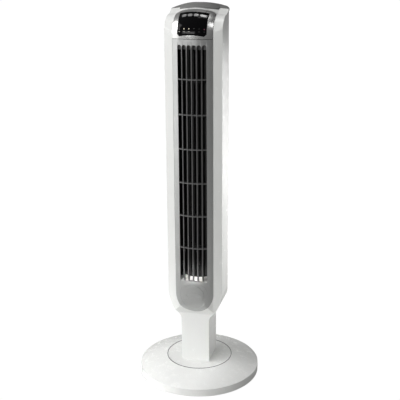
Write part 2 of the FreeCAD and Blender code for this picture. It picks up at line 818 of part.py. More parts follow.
def crank_disc():
    """Turned by the swing motor's shaft; its short pin stands under the link's eye."""
    disc = cylinder("crank_plate", "sizes.crank_throw + 4", "sizes.crank_thickness",
                    CRANK_X, "sizes.link_length", CRANK_Z)
    shaft = cylinder("crank_shaft", "sizes.swing_shaft_radius",
                     "%s - %s + sizes.free_fit" % (CRANK_Z, WELL_BOTTOM), CRANK_X, "sizes.link_length",
                     "%s + sizes.free_fit" % WELL_BOTTOM)
    pin = cylinder("crank_pin", "sizes.link_pin_radius",
                   "%s - %s - sizes.crank_thickness - 0.4" % (LINK_Z, CRANK_Z),
                   "%s - sizes.crank_throw" % CRANK_X, "sizes.link_length",
                   "%s + sizes.crank_thickness" % CRANK_Z)
    return fuse("crank_disc", disc, shaft, pin)


# ---------------------------------------------------------------- turntable and column

def turntable():
    """Swinging disc with a bearing skirt, a hollow pivot, the link's pin and a column socket."""
    disc = cylinder("table_disc", "sizes.turntable_radius", "sizes.turntable_thickness", z=TABLE_BOTTOM)
    skirt = tube("table_skirt", "sizes.slide_ring_radius - 0.5",
                 "sizes.slide_ring_radius - sizes.slide_ring_width + 0.5",
                 "sizes.well_depth - sizes.turntable_thickness - sizes.slide_ring_thickness"
                 " - sizes.free_fit",
                 z="%s + sizes.slide_ring_thickness + sizes.free_fit" % WELL_TOP)
    hub = cylinder("table_hub", "sizes.pivot_radius", "%s - %s" % (TABLE_BOTTOM, RETAINER_TOP),
                   z=RETAINER_TOP)
    pin = cylinder("lever_pin", "sizes.link_pin_radius", "%s - %s" % (TABLE_BOTTOM, LINK_Z),
                   "-sizes.lever_radius", "0", LINK_Z)
    inset = "(sizes.column_wall + sizes.free_fit)"
    socket = box("column_socket", "-(sizes.column_half_width - %s)" % inset,
                 "-(sizes.column_front - %s)" % inset, "sizes.deck_height",
                 "2 * (sizes.column_half_width - %s)" % inset,
                 "sizes.column_front + sizes.column_back - 2 * %s - 0.6 * sizes.column_back_round" % inset,
                 "sizes.socket_height")
    hollow = box("column_socket_hollow", "-(sizes.column_half_width - %s - 4)" % inset,
                 "-(sizes.column_front - %s - 4)" % inset, "sizes.deck_height",
                 "2 * (sizes.column_half_width - %s - 4)" % inset,
                 "sizes.column_front + sizes.column_back - 2 * %s - 0.6 * sizes.column_back_round - 8"
                 % inset,
                 "sizes.socket_height + 1")
    ring = cut("column_socket_ring", socket, hollow)
    bore = cylinder("pivot_bore", "sizes.pivot_bore_radius", "sizes.hole_run",
                    z=WELL_BOTTOM + " - sizes.cut_past")
    holes = retainer_holes("table")
    screw_holes = column_screw_cuts("table")
    whole = fuse("turntable_whole", disc, skirt, hub, pin, ring)
    return cut("turntable", whole, bore, *(holes + screw_holes))


def retainer_place(index):
    middle = "((sizes.pivot_radius + sizes.pivot_bore_radius) / 2)"
    return on_circle(middle, "3", index, "30")


def retainer_holes(owner):
    holes = []
    for index in range(3):
        x, y = retainer_place(index)
        holes.append(cylinder("%s_retainer_hole_%d" % (owner, index), "0.75", "8", x, y,
                              "%s - 4" % RETAINER_TOP))
    return holes


def pivot_retainer():
    """Washer screwed to the hub's lower end, which keeps the tower from lifting out."""
    washer = tube("retainer_washer", "sizes.retainer_radius", "sizes.pivot_bore_radius",
                  "sizes.retainer_thickness", z="%s - sizes.retainer_thickness" % RETAINER_TOP)
    return cut("pivot_retainer", washer, *retainer_holes("washer"))


def retainer_screws():
    screws = []
    for index in range(3):
        x, y = retainer_place(index)
        head = cylinder("retainer_screw_head_%d" % index, "1.5", "1.2", x, y,
                        "%s - sizes.retainer_thickness - 1.2" % RETAINER_TOP)
        shank = cylinder("retainer_screw_shank_%d" % index, "0.75", "sizes.retainer_thickness + 4",
                         x, y, "%s - sizes.retainer_thickness" % RETAINER_TOP)
        screws.append(fuse("retainer_screw_%d" % index, head, shank))
    return group("retainer_screws", screws)


def drive_link():
    """Flat link between the turntable's pin and the crank."""
    radius = "(sizes.link_pin_radius + 3)"
    eye = cylinder("link_eye", radius, "sizes.link_thickness", "-sizes.lever_radius", "0", LINK_Z)
    far_eye = cylinder("link_far_eye", radius, "sizes.link_thickness",
                       "-sizes.lever_radius", "sizes.link_length", LINK_Z)
    bar = box("link_bar", "-sizes.lever_radius - 3", "0", LINK_Z, "6", "sizes.link_length",
              "sizes.link_thickness")
    bore = cylinder("link_bore", "sizes.link_pin_radius + sizes.running_fit", "9",
                    "-sizes.lever_radius", "0", "%s - 3" % LINK_Z)
    far_bore = cylinder("link_far_bore", "sizes.link_pin_radius + sizes.running_fit", "9",
                        "-sizes.lever_radius", "sizes.link_length", "%s - 3" % LINK_Z)
    return cut("drive_link", fuse("link_whole", eye, far_eye, bar), bore, far_bore)


def column_screw_places():
    return [(side + "18", height) for side in ("-", "")
            for height in ("sizes.deck_height + 10", "sizes.deck_height + 25")]


def column_screw_cuts(owner):
    cuts = []
    for index, (x, z) in enumerate(column_screw_places()):
        cuts.append(cylinder("%s_column_screw_hole_%d" % (owner, index), "sizes.screw_radius", "30",
                             x, "sizes.column_back - 25", z, "y"))
    return cuts


def column_rear():
    """Rear half of the column, a channel that closes against the front frame's neck."""
    shell = cut("column_rear_tube", neck_form("column_rear_outer", "0"),
                neck_form("column_rear_inner", "sizes.column_wall"))
    above = slab("column_rear_above", "sizes.rear_bottom + sizes.shell_wall + 6")
    channel = common("column_rear_channel", shell, core_prism("column_rear_core", "-sizes.seam_gap"))
    return cut("column_rear", channel, above, *column_screw_cuts("column"))


def column_screws():
    """Four screws through the column's back into the turntable's socket."""
    screws = []
    for index, (x, z) in enumerate(column_screw_places()):
        screws.append(screw("column_screw_%d" % index, x, "sizes.column_back", z,
                            "sizes.screw_head_height", "(sizes.screw_length + 2)", "y"))
    return group("column_screws", screws)


# ---------------------------------------------------------------- tower casing

def shell_screw_places():
    """Six screws join the shells, three a side, each in a boss inside the side wall."""
    middle = "(sizes.tower_half_width - sizes.shell_wall - sizes.boss_radius - sizes.boss_clearance)"
    heights = ("sizes.lower_arc_height + 8", "(sizes.lower_arc_height + sizes.dome_height) / 2",
               "sizes.dome_height - 22")
    return [(side + middle, height) for side in ("-", "") for height in heights]


def shell_bosses(owner, start, length, grow="0"):
    bosses = []
    for index, (x, z) in enumerate(shell_screw_places()):
        boss = cylinder("%s_boss_%d" % (owner, index), "sizes.boss_radius + %s" % grow, length,
                        x, start, z, "y")
        bosses.append(boss)
    return bosses


def shell_screw_holes(owner):
    holes = []
    for index, (x, z) in enumerate(shell_screw_places()):
        holes.append(cylinder("%s_screw_hole_%d" % (owner, index), "sizes.screw_radius",
                              "sizes.hole_run", x, "-sizes.crease_depth + 3.2", z, "y"))
    return holes


SHELL_SEAM = "(-sizes.crease_depth + sizes.seam_setback)"
FRONT_BOSS_START = SHELL_SEAM + " - 0.5"
FRONT_BOSS_LENGTH = "(sizes.boss_depth / 4)"
REAR_BOSS_START = SHELL_SEAM + " + sizes.seam_gap + sizes.boss_depth / 4"


def front_shell():
    """White front frame and the front of the column, moulded in one piece."""
    outer = fuse("front_outer", tower_form("0"), neck_form("front_neck", "0"))
    inner = fuse("front_inner", tower_form("sizes.shell_wall"),
                 neck_form("front_neck_hollow", "sizes.column_wall"))
    skin = cut("front_skin", outer, inner)
    core = core_prism("front_core", "0")
    window = window_prism("front_window", panel_corners("0"))
    pod = tilted_prism("front_pod", pod_corners("0"), "sizes.pod_tilt")
    pod_window = common("front_pod_window", pod, slab("front_pod_limit", "sizes.seam_height - 1"))
    cap = cap_region("front_cap", "-sizes.seam_gap", "-sizes.cap_gap")
    frame = cut("front_frame", skin, core, window, pod_window, cap)
    bosses = fuse("front_bosses", *shell_bosses("front", FRONT_BOSS_START, FRONT_BOSS_LENGTH))
    posts = common("front_posts", bosses, tower_form("1"))
    return cut("front_shell", fuse("front_whole", frame, posts), *shell_screw_holes("front"))


def intake_cutter():
    """The rear air slots as one cutter: columns by rows of upright slots."""
    body = new_body("intake_cutter")
    half = "(%s - sizes.intake_bar)" % INTAKE_PITCH
    left = "-sizes.intake_half_width + sizes.intake_bar / 2"
    low = "sizes.intake_bottom + sizes.intake_bar"
    corners = [
        (left, low),
        ("%s + %s" % (left, half), low),
        ("%s + %s" % (left, half), "%s + %s - 2 * sizes.intake_bar" % (low, INTAKE_STEP)),
        (left, "%s + %s - 2 * sizes.intake_bar" % (low, INTAKE_STEP)),
    ]
    sketch = draw(new_sketch(body, "intake_slot", "XZ_Plane", "-sizes.side_back - 25"), corners)
    slot = pad(body, sketch, "60", reverse=True)
    row = body.newObject("PartDesign::LinearPattern", "intake_row")
    row.Direction = (sketch, ["H_Axis"])
    row.setExpression("Occurrences", "sizes.intake_columns")
    row.setExpression("Length", "%s * (sizes.intake_columns - 1)" % INTAKE_PITCH)
    column = body.newObject("PartDesign::LinearPattern", "intake_column")
    column.Direction = (sketch, ["V_Axis"])
    column.setExpression("Occurrences", "sizes.intake_rows")
    column.setExpression("Length", "%s * (sizes.intake_rows - 1)" % INTAKE_STEP)
    field = body.newObject("PartDesign::MultiTransform", "intake_field")
    field.Originals = [slot]
    field.Transformations = [row, column]
    body.Tip = field
    return body


def handle_box(name, grow):
    return box(name, "-(sizes.handle_half_width + %s)" % grow,
               "sizes.tower_back - sizes.handle_depth - %s" % grow, "sizes.handle_bottom - %s" % grow,
               "2 * (sizes.handle_half_width + %s)" % grow, "sizes.handle_depth + 20 + %s" % grow,
               "sizes.handle_height + 2 * %s" % grow)


def rear_shell():
    """Sides and slotted back of the tower, with an opening for the carry handle."""
    floor = slab("rear_floor", "sizes.rear_bottom")
    hollow = slab("rear_hollow", "sizes.rear_bottom + sizes.shell_wall")
    skin = cut("rear_skin", tower_form("0"),
               common("rear_room", tower_form("sizes.shell_wall"), hollow))
    part = common("rear_part", skin, core_prism("rear_core", "-sizes.seam_gap"), floor)
    neck = neck_form("rear_neck", "-0.3")
    cap = cap_region("rear_cap", "-sizes.seam_gap", "-sizes.cap_gap")
    handle = handle_box("rear_handle_hole", "sizes.handle_wall")
    panel = window_prism("rear_panel_room", panel_corners("0"))
    boss_room = shell_bosses("rear_room", FRONT_BOSS_START, FRONT_BOSS_LENGTH + " + sizes.seam_gap",
                             "sizes.boss_clearance * 0.75")
    cleared = cut("rear_cleared", part, neck, cap, handle, panel, intake_cutter(), *boss_room)
    reach = "(sizes.boss_radius + 3)"
    ribs = []
    for index, (x, z) in enumerate(shell_screw_places()):
        side = x.startswith("-")
        ribs.append(box("rear_rib_%d" % index, "(%s) - %s * %d" % (x, reach, side), REAR_BOSS_START,
                        "%s - sizes.boss_rib / 2" % z, reach, "sizes.boss_depth", "sizes.boss_rib"))
    bosses = fuse("rear_bosses", *(shell_bosses("rear", REAR_BOSS_START, "sizes.boss_depth") + ribs))
    posts = common("rear_posts", bosses, tower_form("1"))
    return cut("rear_shell", fuse("rear_whole", cleared, posts), *shell_screw_holes("rear"))


def housing_screws():
    """Self-tapping screws that pull the rear shell's posts to the front frame."""
    screws = []
    for index, (x, z) in enumerate(shell_screw_places()):
        y = "%s + sizes.boss_depth" % REAR_BOSS_START
        screws.append(screw("housing_screw_%d" % index, x, y, z, "sizes.screw_head_height",
                            "(sizes.boss_depth + 2 + sizes.seam_gap)", "y"))
    return group("housing_screws", screws)


def handle_cup():
    """Finger recess moulded as an open box and pushed into the back of the tower."""
    outer = handle_box("handle_cup_outer", "(sizes.handle_wall - 0.1)")
    inner = handle_box("handle_cup_inner", "0")
    limit = tower_form("0")
    return common("handle_cup", cut("handle_cup_box", outer, inner), limit)


def roof_cap():
    """Grey roof that closes the top behind the curved edge of the front frame."""
    skin = cut("cap_skin", tower_form("-sizes.cap_relief"),
               tower_form("sizes.cap_wall"))
    return common("roof_cap", skin, cap_region("cap_place", "0", "0"))


# ---------------------------------------------------------------- grille, badge and pod

def slot_cutter(name, index):
    """One upright air slot with a round top, down to the arched sill."""
    pitch = SLOT_PITCH
    left = "(-sizes.slot_field_half_width + %s * %d + sizes.rib_width / 2)" % (pitch, index)
    right = "(%s + %s - sizes.rib_width)" % (left, pitch)
    radius = "((%s - %s) / 2)" % (right, left)
    sag = "((sizes.slot_field_half_width^2 + sizes.slot_bottom_sag^2) / (2 * sizes.slot_bottom_sag))"
    sill = "sizes.slot_bottom - %s + sqrt(%s^2 - (%s)^2)" % (sag, sag, "%s")
    middle = "((%s + %s) / 2)" % (left, right)
    return window_prism(name, [
        (left, sill % left, ),
        (right, sill % right),
        (right, "sizes.slot_top - %s" % radius, radius, "left"),
        (middle, "sizes.slot_top", radius, "left"),
        (left, "sizes.slot_top - %s" % radius),
    ])


def front_grille():
    """Silver panel with six tall slots, deep ribs between them and level rings across."""
    skin = cut("grille_skin", tower_form("0"), tower_form("sizes.panel_wall"))
    outline = window_prism("grille_outline", panel_corners("sizes.panel_gap"))
    panel = common("grille_panel", skin, outline)
    slot_count = int(number("sizes.slot_count"))
    slots = [slot_cutter("grille_slot_%d" % index, index) for index in range(slot_count)]
    field = "sizes.slot_field_half_width"
    ahead = "-0.6 * sizes.cutter_depth"
    blades = []
    for index in range(1, slot_count):
        left = "-%s + %s * %d - sizes.rib_width / 2" % (field, SLOT_PITCH, index)
        blades.append(box("grille_blade_%d" % index, left, ahead, FLOOR_TOP + " + 0.3",
                          "sizes.rib_width", "sizes.cutter_depth / 2",
                          "sizes.slot_top + 0.5 - %s" % FLOOR_TOP))
    for index in range(int(number("sizes.ring_count"))):
        low = "sizes.ring_first_height + sizes.ring_pitch * %d - sizes.ring_width / 2" % index
        blades.append(box("grille_ring_%d" % index, "-" + field, ahead, low, "2 * " + field,
                          "sizes.cutter_depth / 2", "sizes.ring_width"))
    bars = common("grille_bars", fuse("grille_blades", *blades),
                  cut("grille_deep", tower_form("0.25"),
                      tower_form("sizes.rib_depth")))
    seat = cylinder("badge_seat", "sizes.badge_radius + 0.2", "sizes.cutter_depth / 2", "0",
                    "-0.75 * sizes.cutter_depth", "sizes.badge_height", "y")
    recess = common("badge_recess", seat, cut("badge_recess_skin", tower_form("-2"),
                                              tower_form("0.8")))
    return cut("front_grille", fuse("grille_whole", cut("grille_slotted", panel, *slots), bars), recess)


def badge_plate():
    """Plain round badge, raised on the panel below the slots."""
    skin = cut("badge_skin", tower_form("-sizes.badge_relief"), tower_form("0.8"))
    disc = cylinder("badge_disc", "sizes.badge_radius", "sizes.cutter_depth / 2", "0",
                    "-0.75 * sizes.cutter_depth", "sizes.badge_height", "y")
    return common("badge_plate", skin, disc)


def control_bezel():
    """Bright surround of the display, on the slope above the seam."""
    skin = cut("bezel_skin", tower_form("-0.4"), tower_form("4"))
    pod = tilted_prism("bezel_pod", pod_corners("sizes.panel_gap"), "sizes.pod_tilt")
    limit = slab("bezel_limit", "sizes.seam_height + sizes.panel_gap")
    window = tilted_prism("bezel_window", display_corners("0"), "sizes.pod_tilt")
    return cut("control_bezel", common("bezel_part", skin, pod, limit), window)


def buttons():
    """Name, centre and width of each button along the row."""
    rows = []
    for index, name in enumerate(("power_button", "speed_button", "swing_button")):
        rows.append((name, "(sizes.button_first + sizes.button_pitch * %d)" % index, "sizes.button_width"))
    rows.append(("timer_button", "sizes.wide_button_centre", "sizes.wide_button_width"))
    return rows


def button_prism(name, centre, width, grow):
    corners = oval_corners("(%s + 2 * %s)" % (width, grow), "(sizes.button_length + 2 * %s)" % grow, centre)
    return tilted_prism(name, corners, "sizes.button_angle")


def display_window():
    """Black gloss window with holes for the buttons."""
    skin = cut("window_skin", tower_form("0.5"),
               tower_form("0.5 + sizes.display_thickness"))
    outline = tilted_prism("window_outline", display_corners("0.2"), "sizes.pod_tilt")
    holes = [button_prism(name + "_hole", centre, width, "sizes.button_clearance")
             for name, centre, width in buttons()]
    return cut("display_window", common("window_part", skin, outline), *holes)


def dome_cylinder(name, x, radius, start, length, angle):
    """A cylinder that points straight out of the dome, from a distance off its axis."""
    item = cylinder(name, radius, length, x,
                    "sizes.dome_centre_back - %s * cos(%s)" % (start, angle),
                    "sizes.dome_height + %s * sin(%s)" % (start, angle))
    item.Placement.Rotation = FreeCAD.Rotation(FreeCAD.Vector(1, 0, 0), 90 - number(angle))
    item.setExpression("Placement.Rotation.Angle", "90 - %s" % angle)
    return item


def dome_box(name, x, width, start, length, thickness, angle):
    """A box square to the same direction: width along X, length along the slope."""
    width, start, length = ("(%s)" % size for size in (width, start, length))
    item = box(name, "%s - %s / 2" % (x, width),
               "sizes.dome_centre_back - %s * cos(%s) - %s / 2 * sin(%s)" % (start, angle, length, angle),
               "sizes.dome_height + %s * sin(%s) - %s / 2 * cos(%s)" % (start, angle, length, angle),
               width, length, thickness)
    item.Placement.Rotation = FreeCAD.Rotation(FreeCAD.Vector(1, 0, 0), 90 - number(angle))
    item.setExpression("Placement.Rotation.Angle", "90 - %s" % angle)
    return item


def push_button(name, centre, width):
    """Oval key with a post, which stands a little proud of the window and slides straight in."""
    skin = cut(name + "_skin", tower_form("0.5 - sizes.button_relief"),
               tower_form("0.5 + sizes.display_thickness + 0.6"))
    key = common(name + "_key", skin, button_prism(name + "_shape", centre, width, "0"))
    foot = "(%s + sizes.switch_height + sizes.button_travel + 0.3)" % BOARD_FACE
    sag = "(%s - sqrt(%s^2 - %s^2))" % (PANEL_ARC, PANEL_ARC, centre)
    length = "(%s - %s - 1.5 - %s)" % (DOME_REACH, sag, foot)
    post = dome_cylinder(name + "_post", centre, "1.5", foot, length, "sizes.button_angle")
    return fuse(name, key, post)


def control_board():
    """Circuit board behind the buttons, square to their travel."""
    return dome_box("control_board", "0", "2 * sizes.display_half_width - 4",
                    "%s - sizes.board_thickness" % BOARD_FACE, "26", "sizes.board_thickness",
                    "sizes.button_angle")


def key_switches():
    """One tact switch on the board under each button's post."""
    switches = []
    for name, centre, _ in buttons():
        switches.append(dome_box(name + "_switch", centre, "sizes.switch_side", BOARD_FACE,
                                 "sizes.switch_side", "sizes.switch_height", "sizes.button_angle"))
    return group("key_switches", switches)


LAMP_FACE = "(%s - sizes.board_inset + 3)" % DOME_REACH


def lamp_board():
    """Small upright board that carries the indicator lamps and the remote's receiver."""
    return dome_box("lamp_board", "0", "2 * sizes.display_half_width - 2",
                    "%s - sizes.board_thickness" % LAMP_FACE, "12", "sizes.board_thickness",
                    "sizes.lamp_angle")


def indicator_lamps():
    """Six small lamps in a row."""
    lamps = []
    for index in range(int(number("sizes.lamp_count"))):
        x = "(sizes.lamp_pitch * (%d - (sizes.lamp_count - 1) / 2))" % index
        lamps.append(dome_cylinder("lamp_%d" % index, x, "sizes.lamp_radius", LAMP_FACE, "4.5",
                                   "sizes.lamp_angle"))
    return group("indicator_lamps", lamps)


def remote_receiver():
    return dome_box("remote_receiver", "0", "5", LAMP_FACE, "6", "4", "sizes.lamp_angle")


# ---------------------------------------------------------------- air duct and blower wheel

def end_plate(name, height, *holes):
    """A plate that fills the tower's section at one height."""
    layer = slab(name + "_layer", height, "sizes.end_plate_thickness")
    form = tower_form("sizes.shell_wall + 0.3")
    bosses = fuse(name + "_bosses", *[cylinder("%s_clear_%d" % (name, index),
                                              "sizes.boss_radius + 0.3", "60", x, "-50", z, "y")
                                      for index, (x, z) in enumerate(shell_screw_places())])
    return cut(name + "_plate", common(name + "_part", layer, form), bosses, *holes)


def motor_lug_place(index):
    x, y = on_circle("sizes.motor_lug_radius", "3", index, "30")
    return x, "sizes.blower_back + %s" % y


def duct_floor():
    """White lower end plate, with three hollow posts that the motor hangs from."""
    shaft_hole = cylinder("floor_shaft_hole", "sizes.shaft_radius + 2", "20", "0",
                          "sizes.blower_back", "sizes.duct_floor_height - 5")
    plate = end_plate("floor", "sizes.duct_floor_height", shaft_hole)
    posts = []
    holes = []
    for index in range(3):
        x, y = motor_lug_place(index)
        posts.append(cylinder("floor_post_%d" % index, "sizes.boss_radius",
                              "sizes.duct_floor_height - %s - sizes.rubber_wall" % MOTOR_TOP, x, y,
                              "%s + sizes.rubber_wall" % MOTOR_TOP))
        holes.append(cylinder("floor_post_hole_%d" % index, "sizes.screw_radius",
                              "sizes.screw_length - 2 - sizes.rubber_wall", x, y,
                              "%s + sizes.rubber_wall" % MOTOR_TOP))
    return cut("duct_floor", fuse("floor_whole", plate, *posts), *holes)


def duct_ceiling():
    """Upper end plate with a lip behind the slot tops and a collar for the top bearing."""
    collar_radius = "(sizes.bush_radius + sizes.rubber_wall)"
    hole = cylinder("ceiling_hole", collar_radius, "40", "0", "sizes.blower_back",
                    "sizes.duct_ceiling_height - 5")
    plate = end_plate("ceiling", "sizes.duct_ceiling_height", hole)
    collar = tube("ceiling_collar", collar_radius + " + 2.5", collar_radius,
                  "sizes.bush_height", "0", "sizes.blower_back", "sizes.duct_ceiling_height")
    lip = box("ceiling_lip", "-sizes.slot_field_half_width - 1",
              "-(%s - sizes.rib_depth - 3.5)" % PANEL_FRONT, "sizes.duct_ceiling_height - 12",
              "2 * sizes.slot_field_half_width + 2", "sizes.duct_wall", "12")
    return fuse("duct_ceiling", plate, collar, lip)


def duct_wall(name, corners):
    """A curved upright wall of the air duct, from the lower end plate to the upper one."""
    return prism(name, "XY_Plane", corners, "sizes.duct_ceiling_height - %s" % FLOOR_TOP, FLOOR_TOP)


def round_blower(radius, angle):
    """x and y expressions of a point round the blower's axis."""
    return "%s * cos(%s)" % (radius, angle), "sizes.blower_back + %s * sin(%s)" % (radius, angle)


def scroll_wall():
    """Outer wall of the duct: wraps the blower's right side and runs to the slots."""
    inner = "(sizes.blower_radius + sizes.volute_gap)"
    outer = "(%s + sizes.duct_wall)" % inner
    mouth = "(sizes.slot_field_half_width + 1.5)"
    return duct_wall("scroll_wall", [
        round_blower(inner, "-52"),
        (mouth, "-sizes.panel_edge_depth"),
        (mouth + " + sizes.duct_wall", "-sizes.panel_edge_depth"),
        round_blower(outer, "-50") + (outer, "left"),
        round_blower(outer, "38"),
        round_blower(inner, "38") + (inner, "right"),
    ])


def tongue_wall():
    """Cut-off wall on the left, whose rounded nose stands close to the blower."""
    nose = "(sizes.blower_radius + sizes.tongue_gap)"
    back = "(%s + sizes.duct_wall)" % nose
    mouth = "(-sizes.slot_field_half_width - 1.5)"
    return duct_wall("tongue_wall", [
        (mouth, "-sizes.panel_edge_depth"),
        round_blower(nose, "216") + (nose, "right"),
        round_blower(nose, "200"),
        round_blower(back, "200") + (back, "left"),
        round_blower(back, "214"),
        (mouth + " - sizes.duct_wall", "-sizes.panel_edge_depth"),
    ])


def blower_wheel():
    """Cross-flow wheel: curved blades between two end discs, held by rings in between."""
    height = "(sizes.blower_top - sizes.blower_bottom)"
    step = "((%s - sizes.disc_thickness) / (sizes.disc_count - 1))" % height
    inner = "(sizes.blower_radius - sizes.blade_depth)"
    outer = "(sizes.blower_radius - 0.4)"
    body = new_body("blower_blades")
    ring = new_sketch(body, "wheel_ring", "XY_Plane", "sizes.blower_bottom")
    for radius in ("sizes.blower_radius", inner + " - 1"):
        circle = Part.Circle(FreeCAD.Vector(0, 0, 0), FreeCAD.Vector(0, 0, 1), number(radius))
        index = ring.addGeometry(circle)
        ring.addConstraint(Sketcher.Constraint("Coincident", index, 3, -1, 1))
        bind(ring, "Radius", (index,), radius)
    ring_pad = pad(body, ring, "sizes.disc_thickness")
    rings = body.newObject("PartDesign::LinearPattern", "wheel_rings")
    rings.Originals = [ring_pad]
    rings.Direction = (ring, ["N_Axis"])
    rings.setExpression("Occurrences", "sizes.disc_count")
    rings.setExpression("Length", "%s * (sizes.disc_count - 1)" % step)
    body.Tip = rings
    blade = draw(new_sketch(body, "wheel_blade", "XY_Plane", "sizes.blower_bottom"), [
        (inner, "0", "11", "left"),
        ("%s * cos(11)" % outer, "%s * sin(11)" % outer),
        ("%s * cos(11) - 0.4" % outer, "%s * sin(11) + sizes.blade_thickness" % outer, "10", "right"),
        (inner, "sizes.blade_thickness"),
    ])
    blade_pad = pad(body, blade, height)
    blades = body.newObject("PartDesign::PolarPattern", "wheel_blades")
    blades.Originals = [blade_pad]
    blades.Axis = (ring, ["N_Axis"])
    blades.Angle = 360
    blades.setExpression("Occurrences", "sizes.blade_count")
    body.Tip = blades
    place(body, "0", "sizes.blower_back", "0")
    low = cylinder("wheel_low_disc", inner, "sizes.disc_thickness", "0", "sizes.blower_back",
                   "sizes.blower_bottom")
    hub = cylinder("wheel_hub", "sizes.shaft_radius + 5", "18", "0", "sizes.blower_back",
                   "sizes.blower_bottom")
    shaft_bore = cylinder("wheel_bore", "sizes.shaft_radius", "30", "0", "sizes.blower_back",
                          "sizes.blower_bottom - 5")
    high = cylinder("wheel_high_disc", inner, "sizes.disc_thickness", "0", "sizes.blower_back",
                    "sizes.blower_top - sizes.disc_thickness")
    stub_seat = cylinder("wheel_stub_seat", "sizes.stub_radius + 3", "10", "0", "sizes.blower_back",
                         "sizes.blower_top - 10")
    stub_bore = cylinder("wheel_stub_bore", "sizes.stub_radius", "20", "0", "sizes.blower_back",
                         "sizes.blower_top - 10")
    whole = fuse("wheel_whole", body, low, hub, high, stub_seat)
    return cut("blower_wheel", whole, shaft_bore, stub_bore)


def blower_stub():
    """Steel pin in the wheel's top end, which runs in the upper bush."""
    return cylinder("blower_stub", "sizes.stub_radius", "10 + %s - sizes.blower_top - 1" % BUSH_TOP, "0",
                    "sizes.blower_back", "sizes.blower_top - 10")


def top_bush():
    return tube("top_bush", "sizes.bush_radius", "sizes.stub_radius + sizes.running_fit",
                "sizes.bush_height", "0", "sizes.blower_back", "sizes.duct_ceiling_height")


def bush_rubber():
    """Rubber sleeve that keeps the upper bush's hum out of the casing."""
    return tube("bush_rubber", "sizes.bush_radius + sizes.rubber_wall", "sizes.bush_radius",
                "sizes.bush_height", "0", "sizes.blower_back", "sizes.duct_ceiling_height")


# ---------------------------------------------------------------- main motor

def motor_bell(name, floor_height, room_height):
    """One pressed end bell: a cup with a bearing hole."""
    cup = cylinder(name + "_cup", "sizes.motor_radius", "sizes.motor_bell_height", "0",
                   "sizes.blower_back", floor_height)
    room = cylinder(name + "_room", "sizes.motor_radius - 2", "sizes.motor_bell_height - 2", "0",
                    "sizes.blower_back", room_height)
    hole = cylinder(name + "_hole", "sizes.shaft_radius + 3.5", "60", "0", "sizes.blower_back",
                    "%s - 20" % floor_height)
    return cut(name + "_shell", cup, room, hole)


def motor_lower_bell():
    bell = motor_bell("lower_bell", "sizes.motor_bottom", "sizes.motor_bottom + 2")
    bell.Label = "motor_lower_bell"
    return bell


UPPER_BELL = "(sizes.motor_bottom + sizes.motor_bell_height + sizes.stator_height)"


def motor_upper_bell():
    """End bell with three lugs, which hang on the rubber mounts."""
    lugs = []
    holes = []
    for index in range(3):
        x, y = motor_lug_place(index)
        lugs.append(cylinder("bell_lug_%d" % index, "sizes.boss_radius + 1", "2", x, y, MOTOR_TOP + " - 2"))
        arm = box("bell_arm_%d" % index, "-4", "0", "0", "8", "16", "2")
        arm.Placement.Rotation = FreeCAD.Rotation(FreeCAD.Vector(0, 0, 1), 30 + 120 * index - 90)
        near_x, near_y = on_circle("(sizes.motor_lug_radius - 14)", "3", index, "30")
        side_x, side_y = on_circle("4", "3", index, "120")
        place(arm, "%s + %s" % (near_x, side_x), "sizes.blower_back + %s + %s" % (near_y, side_y),
              MOTOR_TOP + " - 2")
        holes.append(cylinder("bell_lug_hole_%d" % index, "sizes.screw_radius", "8", x, y,
                              MOTOR_TOP + " - 4"))
        lugs.append(arm)
    bell = motor_bell("upper_bell", UPPER_BELL, UPPER_BELL)
    room = cylinder("upper_bell_clear", "sizes.motor_radius - 2", "sizes.motor_bell_height - 2", "0",
                    "sizes.blower_back", UPPER_BELL)
    return cut("motor_upper_bell", fuse("upper_bell_whole", bell, *lugs), room, *holes)


def motor_stator():
    return tube("motor_stator", "sizes.motor_radius", "sizes.rotor_radius + sizes.rotor_gap",
                "sizes.stator_height", "0", "sizes.blower_back",
                "sizes.motor_bottom + sizes.motor_bell_height")


def motor_rotor():
    return tube("motor_rotor", "sizes.rotor_radius", "sizes.shaft_radius", "sizes.stator_height",
                "0", "sizes.blower_back", "sizes.motor_bottom + sizes.motor_bell_height")


def motor_shaft():
    """Shaft from under the motor up into the wheel's hub."""
    length = "sizes.blower_bottom + 16 - sizes.motor_bottom + 4"
    return cylinder("motor_shaft", "sizes.shaft_radius", length,
                    "0", "sizes.blower_back", "sizes.motor_bottom - 4")


def motor_bearings():
    """One sintered bush in each end bell."""
    bearings = []
    for index, height in enumerate(("sizes.motor_bottom", MOTOR_TOP + " - 6")):
        bearings.append(tube("motor_bearing_%d" % index, "sizes.shaft_radius + 3.5",
                             "sizes.shaft_radius + sizes.running_fit", "6", "0",
                             "sizes.blower_back", height))
    return group("motor_bearings", bearings)


def motor_mounts():
    """Rubber washers between the motor's lugs and the posts."""
    mounts = []
    for index in range(3):
        x, y = motor_lug_place(index)
        mounts.append(tube("motor_mount_%d" % index, "sizes.boss_radius + 1", "sizes.screw_radius",
                           "sizes.rubber_wall", x, y, MOTOR_TOP))
    return group("motor_mounts", mounts)


def motor_screws():
    screws = []
    for index in range(3):
        x, y = motor_lug_place(index)
        screws.append(screw("motor_screw_%d" % index, x, y, "(%s - 2)" % MOTOR_TOP,
                            "sizes.screw_head_height", "sizes.screw_length"))
    return group("motor_screws", screws)


def run_capacitor():
    """Film capacitor of the motor, against the back of the casing."""
    half, depth = "(sizes.capacitor_width / 2)", "sizes.capacitor_depth"
    past_flat = "(%s + sizes.back_round - sizes.tower_half_width)" % half
    wall = "sqrt((sizes.back_round - sizes.shell_wall)^2 - %s^2)" % past_flat
    return box("run_capacitor", minus(half),
               "sizes.tower_back - sizes.back_round + %s - %s - sizes.drive_gap" % (wall, depth),
               "sizes.motor_bottom + 4", "sizes.capacitor_width", depth, "24")


# ---------------------------------------------------------------- build and write

